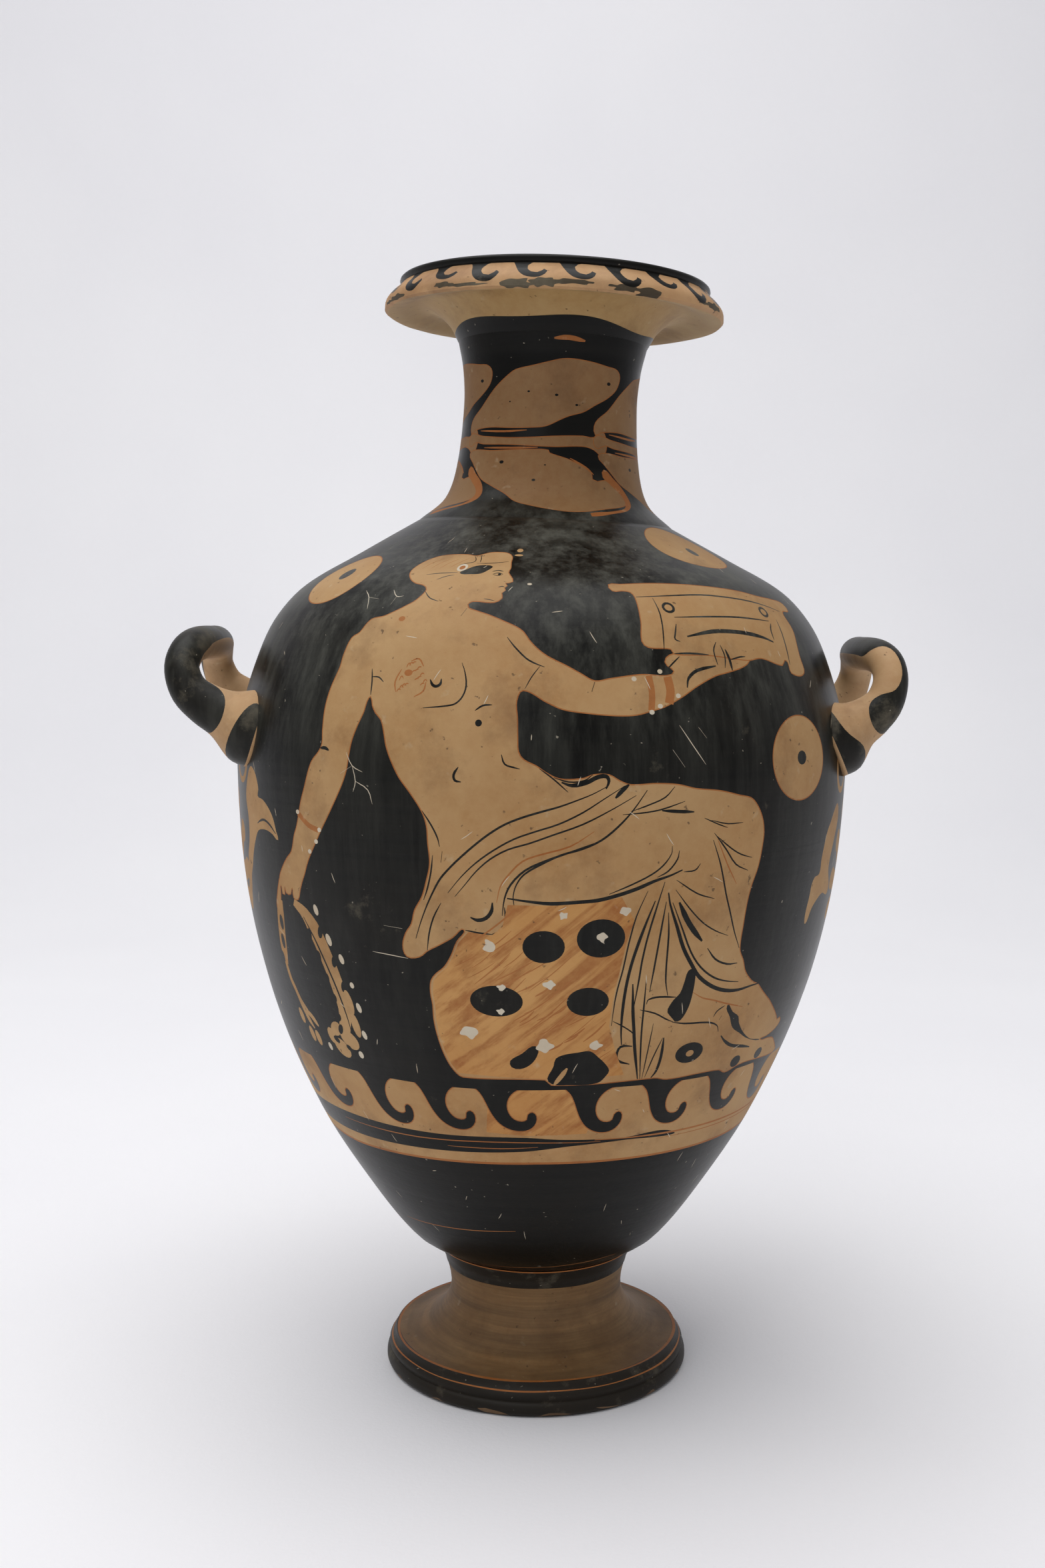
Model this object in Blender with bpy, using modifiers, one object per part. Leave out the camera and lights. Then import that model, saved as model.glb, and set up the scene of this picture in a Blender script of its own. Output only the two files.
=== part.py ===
"""Painted clay water jar: a hydria with a turned foot, body, neck and mouth and three pulled handles.

Every piece is the one the potter made separately and luted on with wet clay. The jar stands on
its resting ring at z = 0, its foot centred on the Z axis, with its painted side facing -Y.
All sizes are in metres.
"""
import math

import bmesh
import bpy
from mathutils import Vector

# ---- Driving sizes -------------------------------------------------------------------------------
TURN_STEPS = 48              # flat sides round each turned piece
JOINT_GAP = 0.0003           # clearance where two pieces meet

FOOT_HEIGHT = 0.0332         # table to the top of the collar
FOOT_RADIUS = 0.0409         # resting ring
FOOT_EDGE_HEIGHT = 0.0065    # the two flat mouldings round the edge
FOOT_EDGE_GROOVE = 0.0010    # depth of the groove between them
FOOT_FLARE_RADIUS = 0.0384   # where the hollow flare runs out on to the edge
STEM_RADIUS = 0.0232         # thinnest place above the flare
STEM_LEVEL = 0.0215          # its height above the table
COLLAR_RADIUS = 0.0268       # top of the band under the body
COLLAR_FOOT_RADIUS = 0.0247  # bottom of the band
COLLAR_HEIGHT = 0.0052
HOLLOW_RADIUS = 0.0318       # the hollow turned out under the foot
HOLLOW_DEPTH = 0.0125

BODY_HEIGHT = 0.1933         # collar to the foot of the neck
BELLY_LEVEL = 0.1298         # widest ring above the collar
BELLY_RADIUS = 0.0804
BODY_BASE_RADIUS = 0.0270
WALL = 0.0045
BODY_FLOOR = 0.0060

NECK_HEIGHT = 0.0465
NECK_BASE_RADIUS = 0.0335
NECK_RADIUS = 0.0227         # thinnest place
NECK_TOP_RADIUS = 0.0247
NECK_BORE_RADIUS = 0.0178

MOUTH_HEIGHT = 0.0158
LIP_RADIUS = 0.0443
DISH_RADIUS = 0.0385         # the dished top inside the lip's ridge

# The jar sagged towards +X in the kiln, round two gentle bends: where each starts, how far it
# takes to grow, and the tilt it adds.
BODY_LEAN_START = 0.0273         # above the collar
BODY_LEAN_LENGTH = 0.0500
BODY_LEAN = math.radians(1.0)
NECK_LEAN_LENGTH = 0.0175        # it ends at the foot of the neck
NECK_LEAN = math.radians(1.25)

SIDE_HANDLE_RADIUS = 0.0045  # half the thickness of the round roll of clay
ARM_FLARE = 2.2              # how much thicker each arm is where it is smoothed on to the wall
SIDE_HANDLE_ROOT = 0.0110    # roots above the widest ring
SIDE_HANDLE_RISE = 0.0202    # crossbar above the roots
SIDE_HANDLE_HOOK = 0.0028    # how far the crossbar leans back in from the arms' bends
LEFT_HANDLE_REACH = 0.0109   # how far the roll's middle stands out past the belly
LEFT_HANDLE_SPREAD = 0.0274  # half the distance between its two arms
RIGHT_HANDLE_REACH = 0.0077
RIGHT_HANDLE_SPREAD = 0.0250

BACK_HANDLE_WIDTH = 0.0170
BACK_HANDLE_THICKNESS = 0.0085
BACK_HANDLE_ROOT_RADIUS = 0.0560   # its root on the shoulder, from the axis
BACK_HANDLE_TOP_DROP = 0.0050      # its upper end below the mouth

# ---- Levels that follow --------------------------------------------------------------------------
BODY_BASE = FOOT_HEIGHT
BODY_TOP = BODY_BASE + BODY_HEIGHT
NECK_TOP = BODY_TOP + NECK_HEIGHT
MOUTH_TOP = NECK_TOP + MOUTH_HEIGHT
BELLY = BODY_BASE + BELLY_LEVEL
HANDLE_ROOT = BELLY + SIDE_HANDLE_ROOT


def clear_scene():
    for old in list(bpy.data.objects):
        bpy.data.objects.remove(old, do_unlink=True)


def new_collection(name):
    made = bpy.data.collections.new(name)
    bpy.context.scene.collection.children.link(made)
    return made


clear_scene()
JAR = new_collection("hydria")
CUTTERS = new_collection("cutters")


def glaze(name, colour, roughness):
    """A Principled material for one piece."""
    made = bpy.data.materials.new(name)
    made.use_nodes = True
    shader = made.node_tree.nodes["Principled BSDF"]
    shader.inputs["Base Color"].default_value = (*colour, 1.0)
    shader.inputs["Roughness"].default_value = roughness
    shader.inputs["Metallic"].default_value = 0.0
    made.diffuse_color = (*colour, 1.0)
    return made


# ---- Outlines ------------------------------------------------------------------------------------
def smooth(points, spans=3):
    """A rounded line through the given points, with `spans` straight pieces between each pair."""
    corners = [Vector(p) for p in points]
    ends = [2 * corners[0] - corners[1], *corners, 2 * corners[-1] - corners[-2]]
    line = []
    for before, start, end, after in zip(ends, ends[1:], ends[2:], ends[3:]):
        stride = (end - start).length
        leaving = (end - before).normalized() * stride
        arriving = (after - start).normalized() * stride
        for step in range(spans):
            t = step / spans
            line.append(start * (2 * t**3 - 3 * t**2 + 1) + leaving * (t**3 - 2 * t**2 + t)
                        + end * (3 * t**2 - 2 * t**3) + arriving * (t**3 - t**2))
    return line + [corners[-1]]


def offset(line, distance):
    """The line moved sideways: a positive distance moves a line that runs upwards away from the axis."""
    moved = []
    for index, point in enumerate(line):
        along = (line[min(index + 1, len(line) - 1)] - line[max(index - 1, 0)]).normalized()
        moved.append(point + distance * Vector((along.y, -along.x)))
    return moved


def body_outline():
    """Radius and height up the outside of the body, from the collar to the foot of the neck."""
    rise = [(0.0, 0.0), (0.04, 0.145), (0.16, 0.365), (0.315, 0.595), (0.53, 0.815), (0.755, 0.95),
            (1.0, 1.0)]
    fall = [(0.22, 0.975), (0.44, 0.89), (0.60, 0.79), (0.735, 0.625), (0.865, 0.325), (1.0, 0.0)]
    points = [(BODY_BASE_RADIUS + out * (BELLY_RADIUS - BODY_BASE_RADIUS), BODY_BASE + up * BELLY_LEVEL)
              for up, out in rise]
    points += [(NECK_BASE_RADIUS + out * (BELLY_RADIUS - NECK_BASE_RADIUS),
                BELLY + up * (BODY_TOP - BELLY)) for up, out in fall]
    return smooth(points, 2)


def neck_outline():
    """Radius and height up the outside of the neck: a hollow curve that opens again under the mouth."""
    points = [(NECK_BASE_RADIUS, 0.0), (0.62 * NECK_RADIUS + 0.38 * NECK_BASE_RADIUS, 0.13),
              (0.88 * NECK_RADIUS + 0.12 * NECK_BASE_RADIUS, 0.32), (NECK_RADIUS, 0.66),
              (0.7 * NECK_RADIUS + 0.3 * NECK_TOP_RADIUS, 0.86), (NECK_TOP_RADIUS, 1.0)]
    return smooth([(out, BODY_TOP + up * NECK_HEIGHT) for out, up in points], 2)


def radius_at(outline, level):
    """The outline's largest radius at a height."""
    crossings = []
    for low, high in zip(outline, outline[1:]):
        if low.y <= level <= high.y:
            share = (level - low.y) / max(high.y - low.y, 1e-9)
            crossings.append(low.x + share * (high.x - low.x))
    return max(crossings)


def shoulder_level(radius):
    """The height at which the shoulder has this radius."""
    shoulder = [p for p in body_outline() if p.y >= BELLY]
    for low, high in zip(shoulder, shoulder[1:]):
        if high.x <= radius <= low.x:
            return low.y + (low.x - radius) / (low.x - high.x) * (high.y - low.y)
    return BELLY


# ---- Making pieces -------------------------------------------------------------------------------
def turned(name, outline, ring, collection):
    """A turned solid. The outline runs down its outer side; a ring's outline closes on itself."""
    mesh = bpy.data.meshes.new(name)
    count = len(outline)
    edges = [(i, i + 1) for i in range(count - 1)]
    if ring:
        edges.append((count - 1, 0))
    mesh.from_pydata([(p[0], 0.0, p[1]) for p in outline], edges, [])
    piece = bpy.data.objects.new(name, mesh)
    collection.objects.link(piece)
    screw = piece.modifiers.new("turn", "SCREW")
    screw.steps = screw.render_steps = TURN_STEPS
    screw.use_merge_vertices = True
    screw.merge_threshold = 0.00001
    screw.use_smooth_shade = True
    return piece


def roll(name, path, thickness, collection):
    """A roll of clay: a round tube along the path, whose points are a place and a share of the thickness."""
    curve = bpy.data.curves.new(name, "CURVE")
    curve.dimensions = "3D"
    curve.bevel_depth = thickness / 2
    curve.bevel_resolution = 4
    curve.use_fill_caps = True
    curve.twist_mode = "MINIMUM"
    spline = curve.splines.new("POLY")
    spline.points.add(len(path) - 1)
    for point, (place, share) in zip(spline.points, path):
        point.co = (*place, 1.0)
        point.radius = share
    piece = bpy.data.objects.new(name, curve)
    collection.objects.link(piece)
    return piece


def made_mesh(piece):
    """The piece as a plain mesh object, with its modifiers or its curve carried out."""
    bpy.context.view_layer.update()
    graph = bpy.context.evaluated_depsgraph_get()
    mesh = bpy.data.meshes.new_from_object(piece.evaluated_get(graph))
    name, place, home = piece.name, piece.matrix_world.copy(), piece.users_collection[0]
    bpy.data.objects.remove(piece, do_unlink=True)
    mesh.name = name
    welded = bmesh.new()
    welded.from_mesh(mesh)
    bmesh.ops.remove_doubles(welded, verts=welded.verts, dist=0.000005)
    bmesh.ops.recalc_face_normals(welded, faces=welded.faces)
    welded.to_mesh(mesh)
    welded.free()
    solid = bpy.data.objects.new(name, mesh)
    solid.matrix_world = place
    home.objects.link(solid)
    return solid


def cut_by(piece, cutter):
    cut = piece.modifiers.new("cut by " + cutter.name, "BOOLEAN")
    cut.operation = "DIFFERENCE"
    cut.solver = "EXACT"
    cut.object = cutter


def sag(height, length, angle):
    """How far a bend of this length has carried a ring sideways at a height above its start, and its tilt."""
    share = min(max(height, 0.0) / length, 1.0)
    sideways = length * angle * share**3 / 3 + angle * max(height - length, 0.0)
    return sideways, angle * share**2


def lean(piece):
    """Tip the jar towards +X round its two bends."""
    for vertex in piece.data.vertices:
        above_body_bend = vertex.co.z - BODY_BASE - BODY_LEAN_START
        above_neck_bend = vertex.co.z - BODY_TOP + NECK_LEAN_LENGTH
        low, low_tilt = sag(above_body_bend, BODY_LEAN_LENGTH, BODY_LEAN)
        high, high_tilt = sag(above_neck_bend, NECK_LEAN_LENGTH, NECK_LEAN)
        across = vertex.co.x
        vertex.co.x = low + high + across * math.cos(low_tilt + high_tilt)
        vertex.co.z -= across * math.sin(low_tilt + high_tilt)


def finish(piece, material):
    piece.data.materials.clear()
    piece.data.materials.append(material)
    piece.data.shade_smooth()
    piece.data.set_sharp_from_angle(angle=math.radians(40))


# ---- Foot: a flared disc on a short stem, hollow underneath --------------------------------------
def make_foot():
    collar_base = FOOT_HEIGHT - JOINT_GAP - COLLAR_HEIGHT
    flare_base = FOOT_EDGE_HEIGHT + 0.2 * (STEM_LEVEL - FOOT_EDGE_HEIGHT) / 1.5
    groove_level = FOOT_EDGE_HEIGHT / 2
    groove = FOOT_EDGE_GROOVE
    outline = [(0.0, FOOT_HEIGHT - JOINT_GAP), (COLLAR_RADIUS, FOOT_HEIGHT - JOINT_GAP),
               (COLLAR_FOOT_RADIUS, collar_base + 0.3 * COLLAR_HEIGHT), (COLLAR_FOOT_RADIUS, collar_base),
               (0.5 * (STEM_RADIUS + COLLAR_FOOT_RADIUS), collar_base)]
    steps = 8
    for step in range(steps + 1):
        turn = math.pi / 2 * step / steps
        outline.append((STEM_RADIUS + (FOOT_FLARE_RADIUS - STEM_RADIUS) * (1 - math.cos(turn)),
                        STEM_LEVEL - (STEM_LEVEL - flare_base) * math.sin(turn)))
    outline += [(FOOT_RADIUS - groove, FOOT_EDGE_HEIGHT), (FOOT_RADIUS - groove, groove_level + groove),
                (FOOT_RADIUS - 1.5 * groove, groove_level + groove / 2), (FOOT_RADIUS, groove_level),
                (FOOT_RADIUS, 0.0), (HOLLOW_RADIUS, 0.0)]
    for step in range(1, 5):
        turn = math.pi / 2 * step / 4
        outline.append((HOLLOW_RADIUS * math.cos(turn), HOLLOW_DEPTH * math.sin(turn)))
    outline[-1] = (0.0, HOLLOW_DEPTH)
    foot = made_mesh(turned("foot", outline, False, JAR))
    finish(foot, glaze("foot glaze", (0.030, 0.028, 0.027), 0.45))


# ---- Body: the thrown belly with its floor, open at the top --------------------------------------
def make_body():
    outside = body_outline()
    floor = BODY_BASE + BODY_FLOOR
    inside = [p for p in offset(outside, -WALL) if p.y > floor + 0.001 and p.y < BODY_TOP]
    rim = Vector((NECK_BASE_RADIUS - WALL, BODY_TOP))
    down = list(reversed(outside))
    outline = [Vector((0.0, floor)), *inside[:-1], rim, *down, Vector((0.0, BODY_BASE))]
    body = made_mesh(turned("body", outline, False, JAR))
    lean(body)
    finish(body, glaze("body glaze", (0.028, 0.026, 0.025), 0.40))


# ---- Neck: a tube that waists in and opens again -------------------------------------------------
def make_neck():
    outside = neck_outline()
    outside[0].y += JOINT_GAP
    base_bore = NECK_BASE_RADIUS - WALL
    bore = smooth([(base_bore, outside[0].y),
                   (0.5 * (base_bore + NECK_BORE_RADIUS), BODY_TOP + 0.16 * NECK_HEIGHT),
                   (NECK_BORE_RADIUS, BODY_TOP + 0.45 * NECK_HEIGHT), (NECK_BORE_RADIUS, NECK_TOP)], 2)
    neck = made_mesh(turned("neck", [*reversed(outside), *bore], True, JAR))
    lean(neck)
    finish(neck, glaze("neck glaze", (0.032, 0.029, 0.027), 0.42))


# ---- Mouth: an overhanging lip with a ridge round its dished top ---------------------------------
def make_mouth():
    def at(out, up):
        return (NECK_TOP_RADIUS + out * (LIP_RADIUS - NECK_TOP_RADIUS), base + up * (MOUTH_TOP - base))

    base = NECK_TOP + JOINT_GAP
    underside = smooth([at(0.0, 0.0), at(0.16, 0.32), at(0.47, 0.56), at(0.86, 0.43), at(0.985, 0.42)], 2)
    face = smooth([at(1.0, 0.46), at(0.985, 0.58), at(0.83, 0.77)], 2)
    ridge = [at(0.76, 0.815), at(0.82, 0.90), at(0.80, 0.97)]
    dish = smooth([(DISH_RADIUS, MOUTH_TOP),
                   (0.62 * DISH_RADIUS + 0.38 * NECK_BORE_RADIUS, base + 0.86 * MOUTH_HEIGHT),
                   (0.24 * DISH_RADIUS + 0.76 * NECK_BORE_RADIUS, base + 0.50 * MOUTH_HEIGHT),
                   (NECK_BORE_RADIUS, base)], 2)
    up_the_outside = [*underside, *face, *ridge]
    mouth = made_mesh(turned("mouth", [*reversed(up_the_outside), *reversed(dish)], True, JAR))
    lean(mouth)
    finish(mouth, glaze("mouth clay", (0.45, 0.27, 0.18), 0.65))


# ---- Side handles: upturned loops whose arms flare on to the belly -------------------------------
def clearance_of(name, outline, bottom, top):
    """A hidden solid one joint gap larger than a turned piece, which trims what is luted on to it."""
    skin = list(reversed(offset(outline, JOINT_GAP)))
    ends = [Vector((0.0, top)), Vector((skin[0].x, top))], [Vector((0.0, bottom))]
    cutter = turned(name, [*ends[0], *skin, *ends[1]], False, CUTTERS)
    cutter.hide_render = True
    cutter.display_type = "WIRE"
    return cutter


def side_handle_path(side, reach, spread):
    """The roll's middle line from one root to the other, and its thickness at each place."""
    root = math.sqrt(radius_at(body_outline(), HANDLE_ROOT)**2 - spread**2)
    out = BELLY_RADIUS + reach - root
    rise = SIDE_HANDLE_RISE
    arm = [(root - 0.50 * out, spread, -0.16 * rise, ARM_FLARE),
           (root, spread, 0.0, ARM_FLARE),
           (root + 0.34 * out, spread, 0.13 * rise, 1 + 0.38 * (ARM_FLARE - 1)),
           (root + 0.62 * out, spread, 0.25 * rise, 1 + 0.20 * (ARM_FLARE - 1)),
           (root + 0.87 * out, 0.99 * spread, 0.42 * rise, 1 + 0.08 * (ARM_FLARE - 1)),
           (root + out, 0.94 * spread, 0.68 * rise, 1.0),
           (root + 0.97 * out, 0.81 * spread, 0.88 * rise, 1.0),
           (root + out - 0.6 * SIDE_HANDLE_HOOK, 0.58 * spread, 0.98 * rise, 1.0)]
    bar = [(root + out - SIDE_HANDLE_HOOK, 0.0, rise, 1.0)]
    points = arm + bar + [(x, -y, z, thick) for x, y, z, thick in reversed(arm)]
    places = smooth([(side * x, y, HANDLE_ROOT + z) for x, y, z, thick in points], 2)
    thickness = smooth([(index, thick) for index, (x, y, z, thick) in enumerate(points)], 2)
    return [(place, share.y) for place, share in zip(places, thickness)]


def make_side_handle(name, side, reach, spread):
    path = side_handle_path(side, reach, spread)
    handle = made_mesh(roll(name, path, 2 * SIDE_HANDLE_RADIUS, JAR))
    cut_by(handle, BODY_SKIN)
    handle = made_mesh(handle)
    lean(handle)
    finish(handle, glaze(name + " glaze", (0.040, 0.037, 0.035), 0.50))


# ---- Back handle: an upright strap from the shoulder to the neck, just under the mouth -----------
def make_back_handle():
    root = BACK_HANDLE_ROOT_RADIUS
    low = shoulder_level(root)
    high = NECK_TOP - BACK_HANDLE_TOP_DROP
    climb = high - low
    neck_side = radius_at(neck_outline(), high - 0.002)
    points = [(0.88 * root, low - 0.20 * climb), (root, low), (1.03 * root, low + 0.25 * climb),
              (0.96 * root, low + 0.55 * climb), (neck_side + 0.62 * (root - neck_side), low + 0.82 * climb),
              (neck_side + 0.28 * (root - neck_side), low + 0.96 * climb), (0.45 * neck_side, high)]
    line = smooth([(0.0, y, z) for y, z in points], 3)
    last = len(line) - 1
    path = [(place, 1.0 + 0.30 * max(0.0, 1.0 - min(index, last - index) / 4))
            for index, place in enumerate(line)]
    strap = made_mesh(roll("back_handle", path, BACK_HANDLE_THICKNESS, JAR))
    for vertex in strap.data.vertices:
        vertex.co.x *= BACK_HANDLE_WIDTH / BACK_HANDLE_THICKNESS
    cut_by(strap, BODY_SKIN)
    cut_by(strap, NECK_SKIN)
    strap = made_mesh(strap)
    lean(strap)
    finish(strap, glaze("back handle glaze", (0.035, 0.032, 0.030), 0.45))


make_foot()
make_body()
make_neck()
make_mouth()
BODY_SKIN = clearance_of("body skin", body_outline(), BODY_BASE - JOINT_GAP, BODY_TOP + WALL)
NECK_SKIN = clearance_of("neck skin", neck_outline(), BODY_TOP, NECK_TOP + BACK_HANDLE_THICKNESS)
make_side_handle("side_handle_left", -1, LEFT_HANDLE_REACH, LEFT_HANDLE_SPREAD)
make_side_handle("side_handle_right", 1, RIGHT_HANDLE_REACH, RIGHT_HANDLE_SPREAD)
make_back_handle()
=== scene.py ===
"""Looks of the painted hydria: a wheel-thrown clay jar with red figures left bare on black slip."""
import math

import bmesh
import bpy
import numpy as np
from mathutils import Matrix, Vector
from mathutils.geometry import delaunay_2d_cdt
from mathutils.kdtree import KDTree


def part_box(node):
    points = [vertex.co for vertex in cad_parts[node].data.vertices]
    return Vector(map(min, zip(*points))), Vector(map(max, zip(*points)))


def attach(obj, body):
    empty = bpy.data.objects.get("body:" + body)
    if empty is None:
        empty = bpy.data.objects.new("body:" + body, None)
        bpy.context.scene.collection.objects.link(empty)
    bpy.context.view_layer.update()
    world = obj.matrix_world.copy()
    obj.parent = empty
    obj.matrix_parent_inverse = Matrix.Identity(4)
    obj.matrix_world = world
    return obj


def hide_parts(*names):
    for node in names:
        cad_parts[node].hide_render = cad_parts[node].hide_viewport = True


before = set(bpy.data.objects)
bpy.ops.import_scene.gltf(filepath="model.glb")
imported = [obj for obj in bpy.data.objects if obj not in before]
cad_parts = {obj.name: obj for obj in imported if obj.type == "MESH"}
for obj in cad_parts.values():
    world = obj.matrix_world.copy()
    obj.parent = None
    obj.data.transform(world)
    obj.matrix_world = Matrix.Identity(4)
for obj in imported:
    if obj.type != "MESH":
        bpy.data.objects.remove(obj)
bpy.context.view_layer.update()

# ---- Studio --------------------------------------------------------------------------------------
# A sheet of pale paper that runs back under the jar and curves up behind it, lit by one broad soft
# lamp overhead, one from the front and the pale room. The camera stands just above the belly.
LENS = 39.72
CAMERA_PLACE = (-0.0037, -0.4625, 0.2007)
CAMERA_TILT = math.radians(90.0 - 5.30)
PAPER_HALF_WIDTH = 3.0
PAPER_FRONT = -2.6
PAPER_BEND_START = 0.55
PAPER_BEND_RADIUS = 0.60
PAPER_BEND_STEPS = 24
PAPER_TOP = 2.2


def shade(red, green, blue):
    """A screen colour, 0 to 255, as the linear colour that shaders use."""
    parts = [part / 255 for part in (red, green, blue)]
    return (*[p / 12.92 if p <= 0.04045 else ((p + 0.055) / 1.055) ** 2.4 for p in parts], 1.0)


class Wire:
    """A socket's value in a node tree. Arithmetic on it adds the Math nodes."""

    def __init__(self, tree, socket):
        self.tree = tree
        self.socket = socket

    def other(self, name):
        """Another output of the same node."""
        return Wire(self.tree, self.socket.node.outputs[name])

    def maths(self, operation, *values):
        return node(self.tree, "ShaderNodeMath", {"operation": operation}, dict(enumerate(values)))

    def __add__(self, value):
        return self.maths("ADD", self, value)

    def __radd__(self, value):
        return self.maths("ADD", value, self)

    def __sub__(self, value):
        return self.maths("SUBTRACT", self, value)

    def __rsub__(self, value):
        return self.maths("SUBTRACT", value, self)

    def __mul__(self, value):
        return self.maths("MULTIPLY", self, value)

    def __rmul__(self, value):
        return self.maths("MULTIPLY", value, self)

    def __truediv__(self, value):
        return self.maths("DIVIDE", self, value)

    def __pow__(self, value):
        return self.maths("POWER", self, value)

    def least(self, value):
        return self.maths("MAXIMUM", self, value)

    def clamped(self):
        return self.least(0.0).maths("MINIMUM", self.least(0.0), 1.0)


def node(tree, kind, settings=None, inputs=None, output=0):
    """Add a node: its settings first, then the values or links of its sockets."""
    made = tree.nodes.new(kind)
    for name, value in (settings or {}).items():
        if name == "stops":
            ramp = made.color_ramp
            while len(ramp.elements) < len(value):
                ramp.elements.new(1.0)
            for element, (place, level) in zip(ramp.elements, value):
                element.position = place
                element.color = (level, level, level, 1.0)
        else:
            setattr(made, name, value)
    for name, value in (inputs or {}).items():
        if isinstance(value, Wire):
            tree.links.new(value.socket, made.inputs[name])
        else:
            made.inputs[name].default_value = value
    return Wire(tree, made.outputs[output])


def mixed(tree, factor, first, second):
    """Two colours mixed, the second by the factor."""
    return node(tree, "ShaderNodeMix", {"data_type": "RGBA"}, {0: factor, 6: first, 7: second}, 2)


def grain(tree, scale, detail=3.0, stretch=(1.0, 1.0, 1.0), roughness=0.55, turn=0.0):
    """Noise from 0 to 1 over the piece's own place, about `scale` blotches to a metre."""
    place = node(tree, "ShaderNodeTexCoord", output="Object")
    place = node(tree, "ShaderNodeMapping", {"vector_type": "TEXTURE"},
                 {"Vector": place, "Rotation": (0.0, turn, 0.0),
                  "Scale": [1 / share for share in stretch]})
    return node(tree, "ShaderNodeTexNoise", {"noise_dimensions": "3D"},
                {"Vector": place, "Scale": scale, "Detail": detail, "Roughness": roughness})


def ramp(tree, value, *stops):
    """The value carried through a ramp of (place, shade) stops."""
    return node(tree, "ShaderNodeValToRGB", {"stops": list(stops)}, {0: value})


def finish_of(name, specular):
    """A new material and its Principled shader."""
    made = bpy.data.materials.new(name)
    made.use_nodes = True
    shader = made.node_tree.nodes["Principled BSDF"]
    shader.inputs["Specular IOR Level"].default_value = specular
    return made, made.node_tree, shader


def feed(tree, shader, colour, roughness, height, depth):
    """Connect a finish's colour, roughness and bump."""
    tree.links.new(colour.socket, shader.inputs["Base Color"])
    tree.links.new(roughness.socket, shader.inputs["Roughness"])
    bump = node(tree, "ShaderNodeBump", {}, {"Height": height, "Distance": depth, "Strength": 1.0})
    tree.links.new(bump.socket, shader.inputs["Normal"])


def mesh_piece(name, points, faces):
    mesh = bpy.data.meshes.new(name)
    mesh.from_pydata(points, [], faces)
    piece = bpy.data.objects.new(name, mesh)
    bpy.context.scene.collection.objects.link(piece)
    return piece


paper_line = [(PAPER_FRONT, 0.0)]
for step in range(PAPER_BEND_STEPS + 1):
    turn = math.pi / 2 * step / PAPER_BEND_STEPS
    paper_line.append((PAPER_BEND_START + PAPER_BEND_RADIUS * math.sin(turn),
                       PAPER_BEND_RADIUS * (1 - math.cos(turn))))
paper_line.append((PAPER_BEND_START + PAPER_BEND_RADIUS, PAPER_TOP))
paper_points = [(side * PAPER_HALF_WIDTH, y, z) for y, z in paper_line for side in (-1, 1)]
paper_faces = [(2 * i, 2 * i + 1, 2 * i + 3, 2 * i + 2) for i in range(len(paper_line) - 1)]
paper = mesh_piece("paper_sweep", paper_points, paper_faces)
paper.data.shade_smooth()
paper_finish, tree, shader = finish_of("pale paper", 0.2)
paper_colour = mixed(tree, ramp(tree, grain(tree, 3.0), (0.35, 0.0), (0.7, 1.0)),
                     shade(248, 247, 249), shade(243, 242, 245))
feed(tree, shader, paper_colour, grain(tree, 20.0) * 0.2 + 0.6, grain(tree, 900.0), 0.0001)
paper.data.materials.append(paper_finish)

world = bpy.data.worlds.new("pale room")
bpy.context.scene.world = world
world.use_nodes = True
world.node_tree.nodes["Background"].inputs["Color"].default_value = (0.96, 0.97, 1.0, 1.0)
world.node_tree.nodes["Background"].inputs["Strength"].default_value = 0.39
for lamp_name, place, size, power, aim in (
        ("overhead", (-0.15, -0.10, 1.30), 1.30, 13.0, (0.0, 0.05, 0.15)),
        ("front", (-0.55, -1.25, 0.85), 0.90, 2.0, (0.0, 0.0, 0.15))):
    lamp_data = bpy.data.lights.new(lamp_name, "AREA")
    lamp_data.shape = "SQUARE"
    lamp_data.size = size
    lamp_data.energy = power
    lamp = bpy.data.objects.new(lamp_name, lamp_data)
    lamp.location = place
    lamp.rotation_euler = (Vector(aim) - Vector(place)).to_track_quat("-Z", "Y").to_euler()
    bpy.context.scene.collection.objects.link(lamp)

camera_data = bpy.data.cameras.new("camera")
camera_data.lens = LENS
camera_data.sensor_width = 36.0
camera_data.clip_start = 0.01
camera_data.clip_end = 20.0
camera = bpy.data.objects.new("camera", camera_data)
camera.location = CAMERA_PLACE
camera.rotation_euler = (CAMERA_TILT, 0.0, 0.0)
bpy.context.scene.collection.objects.link(camera)
bpy.context.scene.camera = camera
bpy.context.scene.view_settings.view_transform = "Standard"

# ---- Clay and slip -------------------------------------------------------------------------------
# The jar is orange-brown clay. The black is a fine clay slip that fires to a gloss, brushed round
# while the jar turns; the figures are the clay left bare. Thinned slip fires brown. Small touches
# of white clay go on last, and all of it is rubbed, pitted and dulled by age.
# The slip's grey haze is dust and, on the shoulder, also a painted sheen of the overhead lamp.
DUST_AND_SHEEN_FOOT = 0.070                # grey haze of dust and painted sheen on the slip from here up,
DUST_AND_SHEEN_SHOULDER = 0.168            # thickest from here on the shoulder, where it is also painted sheen,
DUST_AND_SHEEN_NECK = 0.240                # and stops here, under the neck


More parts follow.
